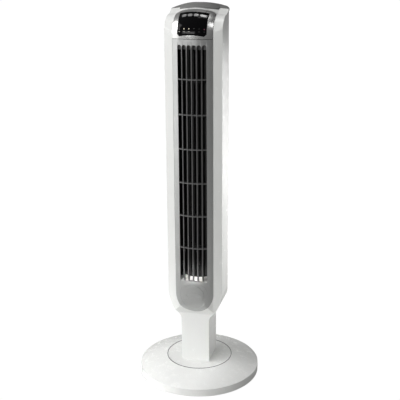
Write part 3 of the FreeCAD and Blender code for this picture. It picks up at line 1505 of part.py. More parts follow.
NODES = [
    base_cover, base_plate, base_screws, rubber_feet, slide_ring, cord_bush, swing_motor,
    swing_motor_screws, crank_disc, drive_link, turntable, pivot_retainer, retainer_screws,
    column_rear, column_screws, front_shell, rear_shell, housing_screws, handle_cup, roof_cap,
    front_grille, badge_plate, control_bezel, display_window, control_board, key_switches,
    lamp_board, indicator_lamps, remote_receiver, duct_floor, duct_ceiling, scroll_wall,
    tongue_wall, blower_wheel, blower_stub, top_bush, bush_rubber, motor_lower_bell,
    motor_upper_bell, motor_stator, motor_rotor, motor_shaft, motor_bearings, motor_mounts,
    motor_screws, run_capacitor,
]

nodes = {}
for make in NODES:
    nodes[make.__name__] = make()
for name, centre, width in buttons():
    nodes[name] = push_button(name, centre, width)

document.recompute()
failed = [item.Name for item in document.Objects
          if "Invalid" in item.State or "Error" in item.State]
for name, item in nodes.items():
    item.Label = name
    if item.Shape.isNull() or not item.Shape.isValid() or not item.Shape.Solids:
        failed.append(name)
if failed:
    raise RuntimeError("failed objects: " + ", ".join(failed))

os.makedirs("parts", exist_ok=True)
for name, item in nodes.items():
    item.Shape.exportStep("parts/%s.step" % name)
    print("%-20s %d solids %10.0f mm3" % (name, len(item.Shape.Solids), item.Shape.Volume))
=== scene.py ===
import math

import bpy
from mathutils import Matrix, Vector
from mathutils.bvhtree import BVHTree


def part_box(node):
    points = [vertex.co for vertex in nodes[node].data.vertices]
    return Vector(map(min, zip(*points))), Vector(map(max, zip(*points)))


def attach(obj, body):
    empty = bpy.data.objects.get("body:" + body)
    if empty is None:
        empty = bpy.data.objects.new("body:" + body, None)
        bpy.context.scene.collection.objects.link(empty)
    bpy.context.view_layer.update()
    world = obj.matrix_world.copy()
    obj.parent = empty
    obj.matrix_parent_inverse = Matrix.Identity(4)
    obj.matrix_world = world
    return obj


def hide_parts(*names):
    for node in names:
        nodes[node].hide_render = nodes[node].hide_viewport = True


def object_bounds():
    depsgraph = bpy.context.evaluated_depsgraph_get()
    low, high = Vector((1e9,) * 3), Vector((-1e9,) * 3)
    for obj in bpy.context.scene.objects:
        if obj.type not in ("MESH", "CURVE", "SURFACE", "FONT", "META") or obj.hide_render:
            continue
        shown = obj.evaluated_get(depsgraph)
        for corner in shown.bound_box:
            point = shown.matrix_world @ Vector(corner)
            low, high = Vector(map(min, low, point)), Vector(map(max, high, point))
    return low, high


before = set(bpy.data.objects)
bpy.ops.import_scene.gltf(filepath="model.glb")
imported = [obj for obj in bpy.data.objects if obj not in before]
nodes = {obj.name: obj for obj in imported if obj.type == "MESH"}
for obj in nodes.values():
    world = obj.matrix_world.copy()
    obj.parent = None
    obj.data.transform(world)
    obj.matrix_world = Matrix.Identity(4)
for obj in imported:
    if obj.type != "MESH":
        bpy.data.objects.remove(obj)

cad_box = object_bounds()
overall_height = cad_box[1].z

# Camera.  It stands a little to the right of the fan's front and above its top, on a long lens,
# and looks down at it.
camera_distance = 2.05 * overall_height
camera_height = 1.1395 * overall_height
camera_azimuth = math.radians(14.57)
camera_heading = math.radians(14.46)
camera_dip = math.radians(17.51)
camera_roll = math.radians(-0.33)
camera_data = bpy.data.cameras.new("camera")
camera_data.sensor_width = 36.0
camera_data.lens = 73.33
camera = bpy.data.objects.new("camera", camera_data)
bpy.context.scene.collection.objects.link(camera)
forward = Vector((-math.sin(camera_heading) * math.cos(camera_dip),
                  math.cos(camera_heading) * math.cos(camera_dip), -math.sin(camera_dip)))
level_right = forward.cross(Vector((0, 0, 1))).normalized()
level_up = level_right.cross(forward)
right = level_right * math.cos(camera_roll) + level_up * math.sin(camera_roll)
upward = level_up * math.cos(camera_roll) - level_right * math.sin(camera_roll)
camera_place = Vector((camera_distance * math.sin(camera_azimuth),
                       -camera_distance * math.cos(camera_azimuth), camera_height))
camera.matrix_world = Matrix.Translation(camera_place) @ Matrix(
    (right, upward, -forward)).transposed().to_4x4()
bpy.context.scene.camera = camera

# Studio.  A white sweep that runs out of sight, large soft boxes at the left and above the front,
# small ones that put single glints on the fan, and a surround that is darker at the right front.
bpy.context.scene.view_settings.view_transform = "Standard"
backdrop_glow = 1.02


def show_camera(tree, lighting, shown, output):
    """Let the camera see one shader as a plain backdrop while the other does the lighting."""
    rays = tree.nodes.new("ShaderNodeLightPath")
    blend = tree.nodes.new("ShaderNodeMixShader")
    tree.links.new(rays.outputs["Is Camera Ray"], blend.inputs["Fac"])
    tree.links.new(lighting, blend.inputs[1])
    tree.links.new(shown, blend.inputs[2])
    tree.links.new(blend.outputs["Shader"], tree.nodes[output].inputs["Surface"])


bpy.ops.object.select_all(action="DESELECT")
bpy.ops.mesh.primitive_plane_add(size=14.0)
floor = bpy.context.active_object
floor.name = "studio_floor"
floor_finish = bpy.data.materials.new("studio_white")
floor_finish.use_nodes = True
tree = floor_finish.node_tree
paper = tree.nodes["Principled BSDF"]
paper.inputs["Base Color"].default_value = (0.62, 0.62, 0.61, 1)
paper.inputs["Roughness"].default_value = 0.9
glow = tree.nodes.new("ShaderNodeEmission")
glow.inputs["Strength"].default_value = backdrop_glow
show_camera(tree, paper.outputs["BSDF"], glow.outputs["Emission"], "Material Output")
floor.data.materials.append(floor_finish)

world = bpy.data.worlds.new("studio")
bpy.context.scene.world = world
world.use_nodes = True
tree = world.node_tree
surround = tree.nodes["Background"]
surround.inputs["Color"].default_value = (1, 1, 1, 1)
backdrop = tree.nodes.new("ShaderNodeBackground")
backdrop.inputs["Color"].default_value = (1, 1, 1, 1)
backdrop.inputs["Strength"].default_value = backdrop_glow
show_camera(tree, surround.outputs["Background"], backdrop.outputs["Background"], "World Output")
compass = tree.nodes.new("ShaderNodeTexCoord")
lean = tree.nodes.new("ShaderNodeVectorMath")
lean.operation = "DOT_PRODUCT"
lean.inputs[1].default_value = (-0.80, -0.42, -0.10)
tree.links.new(compass.outputs["Generated"], lean.inputs[0])
level = tree.nodes.new("ShaderNodeMapRange")
level.inputs["From Min"].default_value = -0.9
level.inputs["From Max"].default_value = 0.8
level.inputs["To Min"].default_value = 0.06
level.inputs["To Max"].default_value = 0.36
tree.links.new(lean.outputs["Value"], level.inputs["Value"])
tree.links.new(level.outputs["Result"], surround.inputs["Strength"])


def soft_box(name, place, target, width, height, power, spread=180):
    """One rectangular studio light, aimed at a point."""
    data = bpy.data.lights.new(name, "AREA")
    data.shape = "RECTANGLE"
    data.size = width
    data.size_y = height
    data.energy = power
    data.spread = math.radians(spread)
    lamp = bpy.data.objects.new(name, data)
    bpy.context.scene.collection.objects.link(lamp)
    lamp.visible_camera = False
    lamp.location = place
    lamp.rotation_euler = (Vector(target) - Vector(place)).to_track_quat("-Z", "Y").to_euler()


waist = (0, 0, 0.5 * overall_height)
soft_box("key_left", (-1.9, -0.55, 1.75), waist, 1.2, 1.0, 28)
soft_box("low_left", (-1.8, -0.8, 0.55), waist, 0.9, 1.1, 5)
soft_box("front_high", (-0.9, -2.1, 1.30), waist, 1.5, 0.35, 18)
soft_box("overhead", (0.15, 0.05, 2.6), waist, 0.6, 0.6, 6)
soft_box("glint_right", (0.80, -0.56, 1.79), (0.04, -0.04, 0.87), 0.42, 0.30, 1.3)
soft_box("rim_right", (0.40, 0.55, 0.52), (0.067, 0.02, 0.45), 0.12, 0.46, 1.2, 60)
soft_box("sill_beam", (-0.15, -1.05, 0.86), (0, -0.026, 0.268), 0.035, 0.016, 0.026, 3)
soft_box("base_left", (-1.1, -1.1, 0.60), (-0.05, -0.03, 0.00), 0.35, 0.25, 0.20, 24)

# White mouldings: base cover and plate, turntable, front frame with its column, rear shell,
# column back, handle cup and duct plates.  Gloss polystyrene, with a faint moulded grain.


def tone_group():
    """Slow drift for colour, a finer drift for roughness, and a grain for the bump height."""
    group = bpy.data.node_groups.new("moulded_surface", "ShaderNodeTree")
    sizes = (("Drift Size", 9.0), ("Patch Size", 60.0), ("Grain Size", 1400.0))
    for name, value in sizes:
        socket = group.interface.new_socket(name=name, in_out="INPUT",
                                            socket_type="NodeSocketFloat")
        socket.default_value = value
    for name in ("Drift", "Patch", "Grain"):
        group.interface.new_socket(name=name, in_out="OUTPUT", socket_type="NodeSocketFloat")
    entry = group.nodes.new("NodeGroupInput")
    leave = group.nodes.new("NodeGroupOutput")
    place = group.nodes.new("ShaderNodeTexCoord")
    for (name, _), output, detail in zip(sizes, ("Drift", "Patch", "Grain"), (3.0, 5.0, 2.0)):
        noise = group.nodes.new("ShaderNodeTexNoise")
        noise.inputs["Detail"].default_value = detail
        group.links.new(place.outputs["Object"], noise.inputs["Vector"])
        group.links.new(entry.outputs[name], noise.inputs["Scale"])
        group.links.new(noise.outputs["Fac"], leave.inputs[output])
    return group


def dust_group():
    """Mask of fine dust: more on faces that look up, broken up by noise."""
    group = bpy.data.node_groups.new("settled_dust", "ShaderNodeTree")
    socket = group.interface.new_socket(name="Amount", in_out="INPUT",
                                        socket_type="NodeSocketFloat")
    socket.default_value = 0.1
    group.interface.new_socket(name="Dust", in_out="OUTPUT", socket_type="NodeSocketFloat")
    entry = group.nodes.new("NodeGroupInput")
    leave = group.nodes.new("NodeGroupOutput")
    facing = group.nodes.new("ShaderNodeNewGeometry")
    split = group.nodes.new("ShaderNodeSeparateXYZ")
    group.links.new(facing.outputs["Normal"], split.inputs["Vector"])
    upward_part = group.nodes.new("ShaderNodeMapRange")
    upward_part.inputs["From Min"].default_value = 0.35
    upward_part.inputs["From Max"].default_value = 1.0
    group.links.new(split.outputs["Z"], upward_part.inputs["Value"])
    place = group.nodes.new("ShaderNodeTexCoord")
    specks = group.nodes.new("ShaderNodeTexNoise")
    specks.inputs["Scale"].default_value = 420.0
    specks.inputs["Detail"].default_value = 6.0
    group.links.new(place.outputs["Object"], specks.inputs["Vector"])
    sharpen = group.nodes.new("ShaderNodeMapRange")
    sharpen.inputs["From Min"].default_value = 0.45
    sharpen.inputs["From Max"].default_value = 0.75
    group.links.new(specks.outputs["Fac"], sharpen.inputs["Value"])
    both = group.nodes.new("ShaderNodeMath")
    both.operation = "MULTIPLY"
    group.links.new(upward_part.outputs["Result"], both.inputs[0])
    group.links.new(sharpen.outputs["Result"], both.inputs[1])
    scaled = group.nodes.new("ShaderNodeMath")
    scaled.operation = "MULTIPLY"
    group.links.new(both.outputs[0], scaled.inputs[0])
    group.links.new(entry.outputs["Amount"], scaled.inputs[1])
    group.links.new(scaled.outputs[0], leave.inputs["Dust"])
    return group


moulded_surface = tone_group()
settled_dust = dust_group()


def finish(name, low, high, shine, bump, grain=1400.0, dust=0.1, metallic=0.0, coat=0.0,
           specular=0.5):
    """A moulded, painted or plated finish made from the shared surface and dust groups."""
    material = bpy.data.materials.new(name)
    material.use_nodes = True
    tree = material.node_tree
    shader = tree.nodes["Principled BSDF"]
    shader.inputs["Metallic"].default_value = metallic
    shader.inputs["Coat Weight"].default_value = coat
    shader.inputs["Coat Roughness"].default_value = 0.08
    shader.inputs["Specular IOR Level"].default_value = specular
    surface = tree.nodes.new("ShaderNodeGroup")
    surface.name = "Surface"
    surface.node_tree = moulded_surface
    surface.inputs["Grain Size"].default_value = grain
    settled = tree.nodes.new("ShaderNodeGroup")
    settled.node_tree = settled_dust
    settled.inputs["Amount"].default_value = dust
    body = tree.nodes.new("ShaderNodeMix")
    body.name = "Body Colour"
    body.data_type = "RGBA"
    body.inputs["A"].default_value = (*low, 1)
    body.inputs["B"].default_value = (*high, 1)
    tree.links.new(surface.outputs["Drift"], body.inputs["Factor"])
    dusty = tree.nodes.new("ShaderNodeMix")
    dusty.data_type = "RGBA"
    dusty.inputs["B"].default_value = (0.42, 0.41, 0.38, 1)
    tree.links.new(settled.outputs["Dust"], dusty.inputs["Factor"])
    tree.links.new(body.outputs["Result"], dusty.inputs["A"])
    tree.links.new(dusty.outputs["Result"], shader.inputs["Base Color"])
    gloss = tree.nodes.new("ShaderNodeMapRange")
    gloss.inputs["From Min"].default_value = 0.3
    gloss.inputs["From Max"].default_value = 0.7
    gloss.inputs["To Min"].default_value = shine * 0.85
    gloss.inputs["To Max"].default_value = shine * 1.15
    tree.links.new(surface.outputs["Patch"], gloss.inputs["Value"])
    rough = tree.nodes.new("ShaderNodeMath")
    rough.operation = "MULTIPLY_ADD"
    rough.inputs[1].default_value = 0.6
    rough.use_clamp = True
    tree.links.new(settled.outputs["Dust"], rough.inputs[0])
    tree.links.new(gloss.outputs["Result"], rough.inputs[2])
    tree.links.new(rough.outputs[0], shader.inputs["Roughness"])
    relief = tree.nodes.new("ShaderNodeBump")
    relief.name = "Relief"
    relief.inputs["Strength"].default_value = bump
    relief.inputs["Distance"].default_value = 0.0003
    tree.links.new(surface.outputs["Grain"], relief.inputs["Height"])
    tree.links.new(relief.outputs["Normal"], shader.inputs["Normal"])
    return material


def choose(piece):
    """Make one piece the only selected and the active one."""
    bpy.ops.object.select_all(action="DESELECT")
    piece.select_set(True)
    bpy.context.view_layer.objects.active = piece


def soften(name, source, material, body, width):
    """A copy of a CAD node with its doubles merged and its sharp edges rounded over."""
    sharp = math.radians(28.0)
    mesh = nodes[source].data.copy()
    mesh.materials.clear()
    mesh.materials.append(material)
    piece = bpy.data.objects.new(name, mesh)
    bpy.context.scene.collection.objects.link(piece)
    choose(piece)
    bpy.ops.object.mode_set(mode="EDIT")
    bpy.ops.mesh.select_all(action="SELECT")
    bpy.ops.mesh.remove_doubles(threshold=0.000004)
    bpy.ops.mesh.dissolve_limited(angle_limit=math.radians(0.3), delimit={"NORMAL"})
    bpy.ops.object.mode_set(mode="OBJECT")
    if width:
        bevel = piece.modifiers.new("soft_edges", "BEVEL")
        bevel.width = width
        bevel.segments = 2
        bevel.limit_method = "ANGLE"
        bevel.angle_limit = sharp
        bpy.ops.object.modifier_apply(modifier=bevel.name)
    bpy.ops.object.shade_smooth_by_angle(angle=sharp)
    weighted = piece.modifiers.new("flat_faces", "WEIGHTED_NORMAL")
    weighted.keep_sharp = True
    bpy.ops.object.modifier_apply(modifier=weighted.name)
    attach(piece, body)
    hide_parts(source)
    return piece


def dress(node, material):
    """Give a CAD node its finish."""
    mesh = nodes[node].data
    mesh.materials.clear()
    mesh.materials.append(material)


def settle(piece, material, body):
    """Put a modelled piece's place in its mesh, shade it, and hang it on its body."""
    choose(piece)
    bpy.ops.object.transform_apply(location=True, rotation=True, scale=True)
    bpy.ops.object.mode_set(mode="EDIT")
    bpy.ops.mesh.select_all(action="SELECT")
    bpy.ops.mesh.normals_make_consistent(inside=False)
    bpy.ops.object.mode_set(mode="OBJECT")
    bpy.ops.object.shade_smooth_by_angle(angle=math.radians(35))
    piece.data.materials.clear()
    piece.data.materials.append(material)
    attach(piece, body)


gloss_white = finish("gloss_white", (0.80, 0.805, 0.785), (0.86, 0.865, 0.85), 0.24, 0.02)
soften("base_dome", "base_cover", gloss_white, "base", 0.0014)
soften("turntable_disc", "turntable", gloss_white, "tower", 0.0002)
soften("front_frame", "front_shell", gloss_white, "tower", 0.0005)
soften("rear_housing", "rear_shell", gloss_white, "tower", 0.0005)
soften("column_back", "column_rear", gloss_white, "tower", 0.0005)
soften("handle_recess", "handle_cup", gloss_white, "tower", 0.0004)
satin_white = finish("satin_white", (0.74, 0.745, 0.73), (0.80, 0.80, 0.79), 0.42, 0.05, dust=0.35)
dress("base_plate", satin_white)
dress("duct_floor", satin_white)

# Gap shade ring.  A black ring set into the gap between the base and the turntable, standing a
# little proud of both: painted shade for the dark groove round the turntable.
deck_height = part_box("base_cover")[1].z
gap_shade_thickness = 0.0011
gap_shade_clearance = 0.0006
bpy.ops.object.select_all(action="DESELECT")
bpy.ops.mesh.primitive_torus_add(major_radius=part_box("turntable")[1].x + gap_shade_clearance,
                                 minor_radius=gap_shade_thickness / 2,
                                 major_segments=160, minor_segments=10)
gap_shade_ring = bpy.context.active_object
gap_shade_ring.name = "gap_shade_ring"
gap_shade_ring.scale = (1, 1, 1.6)
gap_shade_ring.location = (0, 0, deck_height + 0.0001)
# Near-black finish for the ring: painted shade in the groove.
gap_shade_black = finish("gap_shade_black", (0.008, 0.008, 0.008), (0.02, 0.02, 0.02), 0.95, 0.8,
                    grain=3000.0)
settle(gap_shade_ring, gap_shade_black, "base")

# Roof cap.  Grey moulding with a fine spark-eroded texture, snapped over the top of the tower.
spark_grey = finish("spark_grey", (0.155, 0.155, 0.152), (0.185, 0.185, 0.181), 0.38, 0.35,
                    grain=2600.0, dust=0.22)
soften("roof_lid", "roof_cap", spark_grey, "tower", 0.0005)
dress("duct_ceiling", finish("plain_grey", (0.10, 0.10, 0.10), (0.13, 0.13, 0.128), 0.5, 0.1))
dress("run_capacitor", finish("capacitor_case", (0.30, 0.30, 0.30), (0.36, 0.36, 0.35), 0.4, 0.1))

# Grille panel.  Plastic sprayed with silver paint, so it has fine metal flakes under a thin
# lacquer.


def flake_group():
    """Metal flakes in a paint film: small cells, each with its own brightness and tilt."""
    group = bpy.data.node_groups.new("paint_flakes", "ShaderNodeTree")
    socket = group.interface.new_socket(name="Flake Size", in_out="INPUT",
                                        socket_type="NodeSocketFloat")
    socket.default_value = 2500.0
    group.interface.new_socket(name="Brightness", in_out="OUTPUT", socket_type="NodeSocketFloat")
    group.interface.new_socket(name="Tilt", in_out="OUTPUT", socket_type="NodeSocketFloat")
    entry = group.nodes.new("NodeGroupInput")
    leave = group.nodes.new("NodeGroupOutput")
    place = group.nodes.new("ShaderNodeTexCoord")
    cells = group.nodes.new("ShaderNodeTexVoronoi")
    group.links.new(place.outputs["Object"], cells.inputs["Vector"])
    group.links.new(entry.outputs["Flake Size"], cells.inputs["Scale"])
    shade = group.nodes.new("ShaderNodeSeparateColor")
    group.links.new(cells.outputs["Color"], shade.inputs["Color"])
    group.links.new(shade.outputs["Red"], leave.inputs["Brightness"])
    group.links.new(shade.outputs["Green"], leave.inputs["Tilt"])
    return group


paint_flakes = flake_group()
slots_half_width = 0.0344
slots_bottom = 0.259
slots_top = 0.828


def metallic_paint(name):
    """Silver paint: the body colour varies flake by flake, and so does the surface's tilt."""
    silver = (0.47, 0.475, 0.47)
    low = tuple(channel * 0.9 for channel in silver)
    high = tuple(channel * 1.1 for channel in silver)
    material = finish(name, low, high, 0.36, 0.03, metallic=0.85, coat=0.25, dust=0.12)
    tree = material.node_tree
    flakes = tree.nodes.new("ShaderNodeGroup")
    flakes.node_tree = paint_flakes
    tree.links.new(flakes.outputs["Brightness"], tree.nodes["Body Colour"].inputs["Factor"])
    relief = tree.nodes["Relief"]
    relief.inputs["Strength"].default_value = 0.06
    tree.links.new(flakes.outputs["Tilt"], relief.inputs["Height"])
    return material


def paint_rib_shade(material):
    """Painted shade: darken the silver on the ribs between the slots, where shade falls among them.
    """
    tree = material.node_tree
    shader = tree.nodes["Principled BSDF"]
    place = tree.nodes.new("ShaderNodeTexCoord")
    split = tree.nodes.new("ShaderNodeSeparateXYZ")
    tree.links.new(place.outputs["Object"], split.inputs["Vector"])
    across = tree.nodes.new("ShaderNodeMath")
    across.operation = "ABSOLUTE"
    tree.links.new(split.outputs["X"], across.inputs[0])
    mask = None
    for source, start, end in ((across.outputs[0], slots_half_width, slots_half_width - 0.0012),
                               (split.outputs["Z"], slots_bottom, slots_bottom + 0.011),
                               (split.outputs["Z"], slots_top, slots_top - 0.010)):
        edge = tree.nodes.new("ShaderNodeMapRange")
        edge.interpolation_type = "SMOOTHSTEP"
        edge.inputs["From Min"].default_value = start
        edge.inputs["From Max"].default_value = end
        tree.links.new(source, edge.inputs["Value"])
        if mask is None:
            mask = edge.outputs["Result"]
            continue
        both = tree.nodes.new("ShaderNodeMath")
        both.operation = "MULTIPLY"
        tree.links.new(mask, both.inputs[0])
        tree.links.new(edge.outputs["Result"], both.inputs[1])
        mask = both.outputs[0]
    # Painted shade: inside the slot field the silver is mixed towards dark grey.
    rib_shade = tree.nodes.new("ShaderNodeMix")
    rib_shade.data_type = "RGBA"
    rib_shade.inputs["B"].default_value = (0.17, 0.17, 0.17, 1)
    unshaded_colour = shader.inputs["Base Color"].links[0].from_socket
    tree.links.new(mask, rib_shade.inputs["Factor"])
    tree.links.new(unshaded_colour, rib_shade.inputs["A"])
    tree.links.new(rib_shade.outputs["Result"], shader.inputs["Base Color"])
    return material


silver_paint = metallic_paint("silver_paint")
# The grille's silver carries painted shade on its ribs.
grille_silver = paint_rib_shade(metallic_paint("grille_silver"))
grille_panel = soften("grille_panel", "front_grille", grille_silver, "tower", 0)

# The sides of the ribs and rings inside the slot field get a dark grey finish of their own: painted
# shade for the shade that falls between the ribs.
rib_side_shade = finish("rib_side_shade", (0.055, 0.055, 0.055), (0.11, 0.11, 0.11), 0.5, 0.15, dust=0.05)
grille_panel.data.materials.append(rib_side_shade)
wheel_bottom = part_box("blower_wheel")[0].z
for face in grille_panel.data.polygons:
    inside_slots = (abs(face.center.x) < slots_half_width + 0.0001
                    and face.center.z > wheel_bottom - 0.004)
    if inside_slots and abs(face.normal.y) < 0.75:
        face.material_index = 1

# Badge.  A plain raised disc in the same silver paint, with a blank oval plate at its middle and a
# fine ring moulded round it in the panel.
badge_low, badge_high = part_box("badge_plate")
badge_middle = (badge_low + badge_high) / 2
panel_curve = 0.0934
soften("badge_disc", "badge_plate", silver_paint, "tower", 0.0004)


def pick_faces(piece, test):
    """Select the faces of a piece that pass a test, and stay in edit mode."""
    bpy.ops.object.mode_set(mode="EDIT")
    bpy.ops.mesh.select_mode(type="FACE")
    bpy.ops.mesh.select_all(action="DESELECT")
    bpy.ops.object.mode_set(mode="OBJECT")
    for face in piece.data.polygons:
        face.select = test(face)
    bpy.ops.object.mode_set(mode="EDIT")


def wrap_on_panel(piece, stand_off):
    """Bend a flat upright piece back on to the panel's curve, measured from the middle line."""
    front = badge_low.y + stand_off
    for vertex in piece.data.vertices:
        sag = panel_curve - math.sqrt(panel_curve ** 2 - vertex.co.x ** 2)
        vertex.co.y += front + sag


ring_radius = 0.0345
bpy.ops.object.select_all(action="DESELECT")
bpy.ops.mesh.primitive_torus_add(major_radius=ring_radius, minor_radius=0.0007,
                                 major_segments=96, minor_segments=10,
                                 rotation=(math.radians(90), 0, 0),
                                 location=(0, 0, badge_middle.z))
badge_ring = bpy.context.active_object
badge_ring.name = "badge_ring"
bpy.ops.object.transform_apply(location=True, rotation=True, scale=True)
wrap_on_panel(badge_ring, 0.0013)
settle(badge_ring, silver_paint, "tower")

bpy.ops.object.select_all(action="DESELECT")
bpy.ops.mesh.primitive_cylinder_add(vertices=72, radius=1.0, depth=1.0,
                                    rotation=(math.radians(90), 0, 0),
                                    location=(0, 0, badge_middle.z))
badge_oval = bpy.context.active_object
badge_oval.name = "badge_oval"
badge_oval.scale = (0.0195, 0.0075, 0.0008)
bpy.ops.object.transform_apply(location=True, rotation=True, scale=True)
pick_faces(badge_oval, lambda face: face.normal.y < -0.9)
bpy.ops.mesh.inset(thickness=0.0012, depth=0)
bpy.ops.mesh.inset(thickness=0.0004, depth=-0.0003)
bpy.ops.object.mode_set(mode="OBJECT")
wrap_on_panel(badge_oval, 0.0)
settle(badge_oval, silver_paint, "tower")

# Control pod.  A bright metallised bezel round a gloss black window, with four oval keys and a
# row of indicator lamps behind it.


def bright_finish(name, low, high, roughness):
    """Metallised plastic: hardly any colour, with fine hairlines in the bump."""
    material = finish(name, low, high, roughness, 0.0, metallic=1.0, dust=0.05)
    tree = material.node_tree
    place = tree.nodes.new("ShaderNodeTexCoord")
    stretch = tree.nodes.new("ShaderNodeMapping")
    stretch.inputs["Scale"].default_value = (60.0, 900.0, 1800.0)
    lines = tree.nodes.new("ShaderNodeTexNoise")
    lines.inputs["Scale"].default_value = 1.0
    lines.inputs["Detail"].default_value = 3.0
    tree.links.new(place.outputs["Object"], stretch.inputs["Vector"])
    tree.links.new(stretch.outputs["Vector"], lines.inputs["Vector"])
    relief = tree.nodes["Relief"]
    relief.inputs["Strength"].default_value = 0.05
    relief.inputs["Distance"].default_value = 0.0001
    tree.links.new(lines.outputs["Fac"], relief.inputs["Height"])
    return material


bright_metal = bright_finish("bright_metal", (0.60, 0.60, 0.59), (0.68, 0.68, 0.67), 0.30)
soften("bezel", "control_bezel", bright_metal, "tower", 0.0007)
piano_black = finish("piano_black", (0.0015, 0.0015, 0.0018), (0.003, 0.003, 0.0035), 0.09, 0.0,
                     dust=0.01, specular=0.08)
soften("display_glass", "display_window", piano_black, "tower", 0.0004)

# Marks on the window.  Six indicator lamps show through round spots, each with a short printed
# dash under it; two of them are lit, and a red one glows faintly.  A thin rim frames every spot.


def lay_on_window(piece, lift):
    """Wrap a flat piece, drawn as x across and y up the window, on to the curved window."""
    glass = nodes["display_window"].data
    window = BVHTree.FromPolygons([vertex.co for vertex in glass.vertices],
                                  [tuple(face.vertices) for face in glass.polygons])
    for vertex in piece.data.vertices:
        angle = vertex.co.y / window_reach
        outward = Vector((0, -math.cos(angle), math.sin(angle)))
        start = Vector((vertex.co.x, window_axis_y, window_axis_z)) + outward * 0.2
        hit, normal, _, _ = window.ray_cast(start, -outward)
        vertex.co = hit + normal * (lift + vertex.co.z)


def copy_along_window(first, name, row, lift):
    """Six marks in a row on the window: the one that was modelled and five copies of it."""
    marks = [first]
    for _ in range(5):
        choose(first)
        bpy.ops.object.duplicate(linked=False)
        marks.append(bpy.context.active_object)
    for number, mark in enumerate(marks):
        mark.name = "%s_%d" % (name, number + 1)
        for vertex in mark.data.vertices:
            vertex.co += Vector(((number - 2.5) * lamp_spacing, row, 0))
        lay_on_window(mark, lift)
    return marks


def glow_finish(name, colour, strength):
    """A lit lamp seen through dark plastic, with a mottled diffuser in front of it."""
    material = finish(name, (0.02, 0.02, 0.02), (0.03, 0.03, 0.03), 0.25, 0.0, dust=0.01)
    tree = material.node_tree
    shader = tree.nodes["Principled BSDF"]
    shader.inputs["Emission Strength"].default_value = strength
    tint = tree.nodes.new("ShaderNodeMix")
    tint.data_type = "RGBA"
    tint.inputs["A"].default_value = (*colour, 1)
    tint.inputs["B"].default_value = (*(0.6 * channel for channel in colour), 1)
    tree.links.new(tree.nodes["Surface"].outputs["Patch"], tint.inputs["Factor"])
    tree.links.new(tint.outputs["Result"], shader.inputs["Emission Color"])
    return material


window_axis_y = 0.0024
window_axis_z = 0.845
window_reach = 0.0594
lamp_low, lamp_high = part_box("indicator_lamps")
lamp_width = 0.0024
lamp_spacing = (lamp_high.x - lamp_low.x - lamp_width) / 5
lamp_row = window_reach * math.radians(17.2)
dash_row = lamp_row - 0.0062
unlit = finish("lamp_unlit", (0.012, 0.011, 0.011), (0.02, 0.018, 0.018), 0.2, 0.0, dust=0.01)
lit = glow_finish("lamp_lit", (1.0, 0.93, 0.68), 0.95)
faint_red = glow_finish("lamp_faint_red", (0.45, 0.12, 0.2), 0.35)
bpy.ops.object.select_all(action="DESELECT")
bpy.ops.mesh.primitive_cylinder_add(vertices=28, radius=0.00125, depth=0.0004)
first_spot = bpy.context.active_object
pick_faces(first_spot, lambda face: face.normal.z > 0.9)
bpy.ops.mesh.inset(thickness=0.0003, depth=0)
bpy.ops.mesh.inset(thickness=0.0002, depth=-0.0001)
bpy.ops.object.mode_set(mode="OBJECT")
spots = copy_along_window(first_spot, "lamp_spot", lamp_row, 0.0)
for spot, material in zip(spots, (unlit, lit, lit, unlit, unlit, faint_red)):
    settle(spot, material, "tower")

ink = finish("printed_ink", (0.40, 0.39, 0.36), (0.55, 0.54, 0.50), 0.5, 0.1, dust=0.02)
faint_ink = finish("faint_ink", (0.03, 0.03, 0.03), (0.05, 0.05, 0.05), 0.5, 0.1, dust=0.02)
bpy.ops.object.select_all(action="DESELECT")
bpy.ops.mesh.primitive_cube_add(size=1.0)
first_dash = bpy.context.active_object
first_dash.scale = (0.0044, 0.0011, 0.00016)
bpy.ops.object.transform_apply(location=True, rotation=True, scale=True)
bpy.ops.object.mode_set(mode="EDIT")
bpy.ops.mesh.select_all(action="SELECT")
bpy.ops.mesh.bevel(offset=0.0004, segments=3, affect="EDGES")
bpy.ops.object.mode_set(mode="OBJECT")
dashes = copy_along_window(first_dash, "lamp_dash", dash_row, 0.00002)
for dash, material in zip(dashes, (ink, ink, ink, faint_ink, faint_ink, faint_ink)):
    settle(dash, material, "tower")

# Keys.  Four oval keys moulded in grey plastic and sprayed silver, each with a soft round edge.
# Each rides on its own button body, which slides in the pod.
key_silver = finish("key_silver", (0.26, 0.26, 0.26), (0.32, 0.32, 0.32), 0.30, 0.05,
                    metallic=0.3, dust=0.04)
for key in ("power", "speed", "swing", "timer"):
    soften("%s_key" % key, "%s_button" % key, key_silver, "%s_button_body" % key,
           0.0004)

# Shade screen.  A dark woven sheet bent round the inside of the slotted back: painted shade, so the
# inside of the back reads dark through the slots.
# Its top and bottom edges draw in by the depth of the bend as they go round to the back, because
# the bevel takes in the back's level edges too.
shell_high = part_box("rear_shell")[1]
wheel_low, wheel_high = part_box("blower_wheel")
screen_half = shell_high.x - 0.0045
screen_bend = 0.047
screen_back = shell_high.y - 0.0042
screen_front = 0.004
screen_bottom = wheel_low.z + 0.006
screen_top = wheel_high.z - 0.004
bpy.ops.object.select_all(action="DESELECT")
bpy.ops.mesh.primitive_cube_add(size=1.0, location=(0, (screen_back + screen_front) / 2,
                                                    (screen_bottom + screen_top) / 2))
screen = bpy.context.active_object
screen.name = "shade_screen"
screen.scale = (2 * screen_half, screen_back - screen_front, screen_top - screen_bottom)
bpy.ops.object.transform_apply(location=True, rotation=True, scale=True)
bpy.ops.object.mode_set(mode="EDIT")
bpy.ops.mesh.select_mode(type="VERT")
bpy.ops.mesh.select_all(action="DESELECT")
bpy.ops.object.mode_set(mode="OBJECT")
for edge in screen.data.edges:
    ends = [screen.data.vertices[index].co for index in edge.vertices]
    same_side = abs(ends[0].x - ends[1].x) < 0.001
    edge.select = same_side and all(end.y > screen_back - 0.001 for end in ends)
bpy.ops.object.mode_set(mode="EDIT")
bpy.ops.mesh.select_mode(type="EDGE")
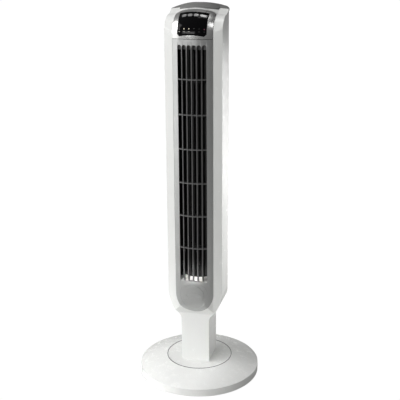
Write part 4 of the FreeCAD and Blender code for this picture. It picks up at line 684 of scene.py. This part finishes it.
bpy.ops.mesh.bevel(offset=screen_bend, segments=14, affect="EDGES")
bpy.ops.object.mode_set(mode="OBJECT")
pick_faces(screen, lambda face: abs(face.normal.z) > 0.9 or face.normal.y < -0.9)
bpy.ops.mesh.delete(type="FACE")
bpy.ops.object.mode_set(mode="OBJECT")
sheet = screen.modifiers.new("sheet", "SOLIDIFY")
sheet.thickness = 0.0005
sheet.offset = 0.0
bpy.ops.object.modifier_apply(modifier=sheet.name)


def woven(name, colour, pitch):
    """Fine square weave: crossing threads in the bump over a mottled colour."""
    material = finish(name, colour, tuple(1.6 * channel for channel in colour), 0.7, 0.4)
    tree = material.node_tree
    place = tree.nodes.new("ShaderNodeTexCoord")
    threads = tree.nodes.new("ShaderNodeTexBrick")
    threads.offset = 0.0
    threads.inputs["Scale"].default_value = 1.0
    threads.inputs["Brick Width"].default_value = pitch
    threads.inputs["Row Height"].default_value = pitch
    threads.inputs["Mortar Size"].default_value = pitch * 0.25
    turned = tree.nodes.new("ShaderNodeMapping")
    turned.inputs["Rotation"].default_value = (math.radians(90), 0, 0)
    tree.links.new(place.outputs["Object"], turned.inputs["Vector"])
    tree.links.new(turned.outputs["Vector"], threads.inputs["Vector"])
    relief = tree.nodes["Relief"]
    tree.links.new(threads.outputs["Fac"], relief.inputs["Height"])
    return material


# Near-black weave on the sheet: painted shade inside the back.
settle(screen, woven("screen_weave", (0.010, 0.010, 0.010), 0.0016), "tower")

# Inside: boards, switches, duct walls, wheel, motor and swing drive, seen only through the slots or
# not at all.  Each keeps its CAD shape and gets the finish of what it is made of.
inside = (
    (finish("soot_black", (0.006, 0.006, 0.006), (0.012, 0.012, 0.012), 0.5, 0.1),
     ("scroll_wall", "tongue_wall", "blower_wheel", "key_switches", "remote_receiver",
      "cord_bush")),
    (finish("board_green", (0.02, 0.10, 0.04), (0.04, 0.15, 0.07), 0.35, 0.3, grain=700.0),
     ("control_board", "lamp_board")),
    (finish("lamp_resin", (0.75, 0.72, 0.6), (0.85, 0.82, 0.7), 0.15, 0.0),
     ("indicator_lamps",)),
    (finish("soft_rubber", (0.018, 0.018, 0.018), (0.03, 0.03, 0.03), 0.75, 0.4),
     ("rubber_feet", "bush_rubber", "motor_mounts")),
    (finish("natural_nylon", (0.70, 0.69, 0.64), (0.78, 0.77, 0.72), 0.45, 0.1),
     ("slide_ring", "drive_link", "crank_disc")),
    (finish("plated_steel", (0.50, 0.50, 0.48), (0.62, 0.61, 0.58), 0.32, 0.15, metallic=1.0),
     ("base_screws", "swing_motor_screws", "retainer_screws", "column_screws", "housing_screws",
      "motor_screws", "pivot_retainer", "motor_shaft", "blower_stub")),
    (finish("motor_plate", (0.35, 0.36, 0.37), (0.46, 0.47, 0.48), 0.4, 0.2, metallic=0.9),
     ("swing_motor", "motor_lower_bell", "motor_upper_bell", "motor_stator", "motor_rotor")),
    (finish("sintered_bronze", (0.38, 0.24, 0.12), (0.46, 0.30, 0.15), 0.45, 0.4, metallic=1.0),
     ("top_bush", "motor_bearings")),
)
for material, dressed in inside:
    for node in dressed:
        dress(node, material)
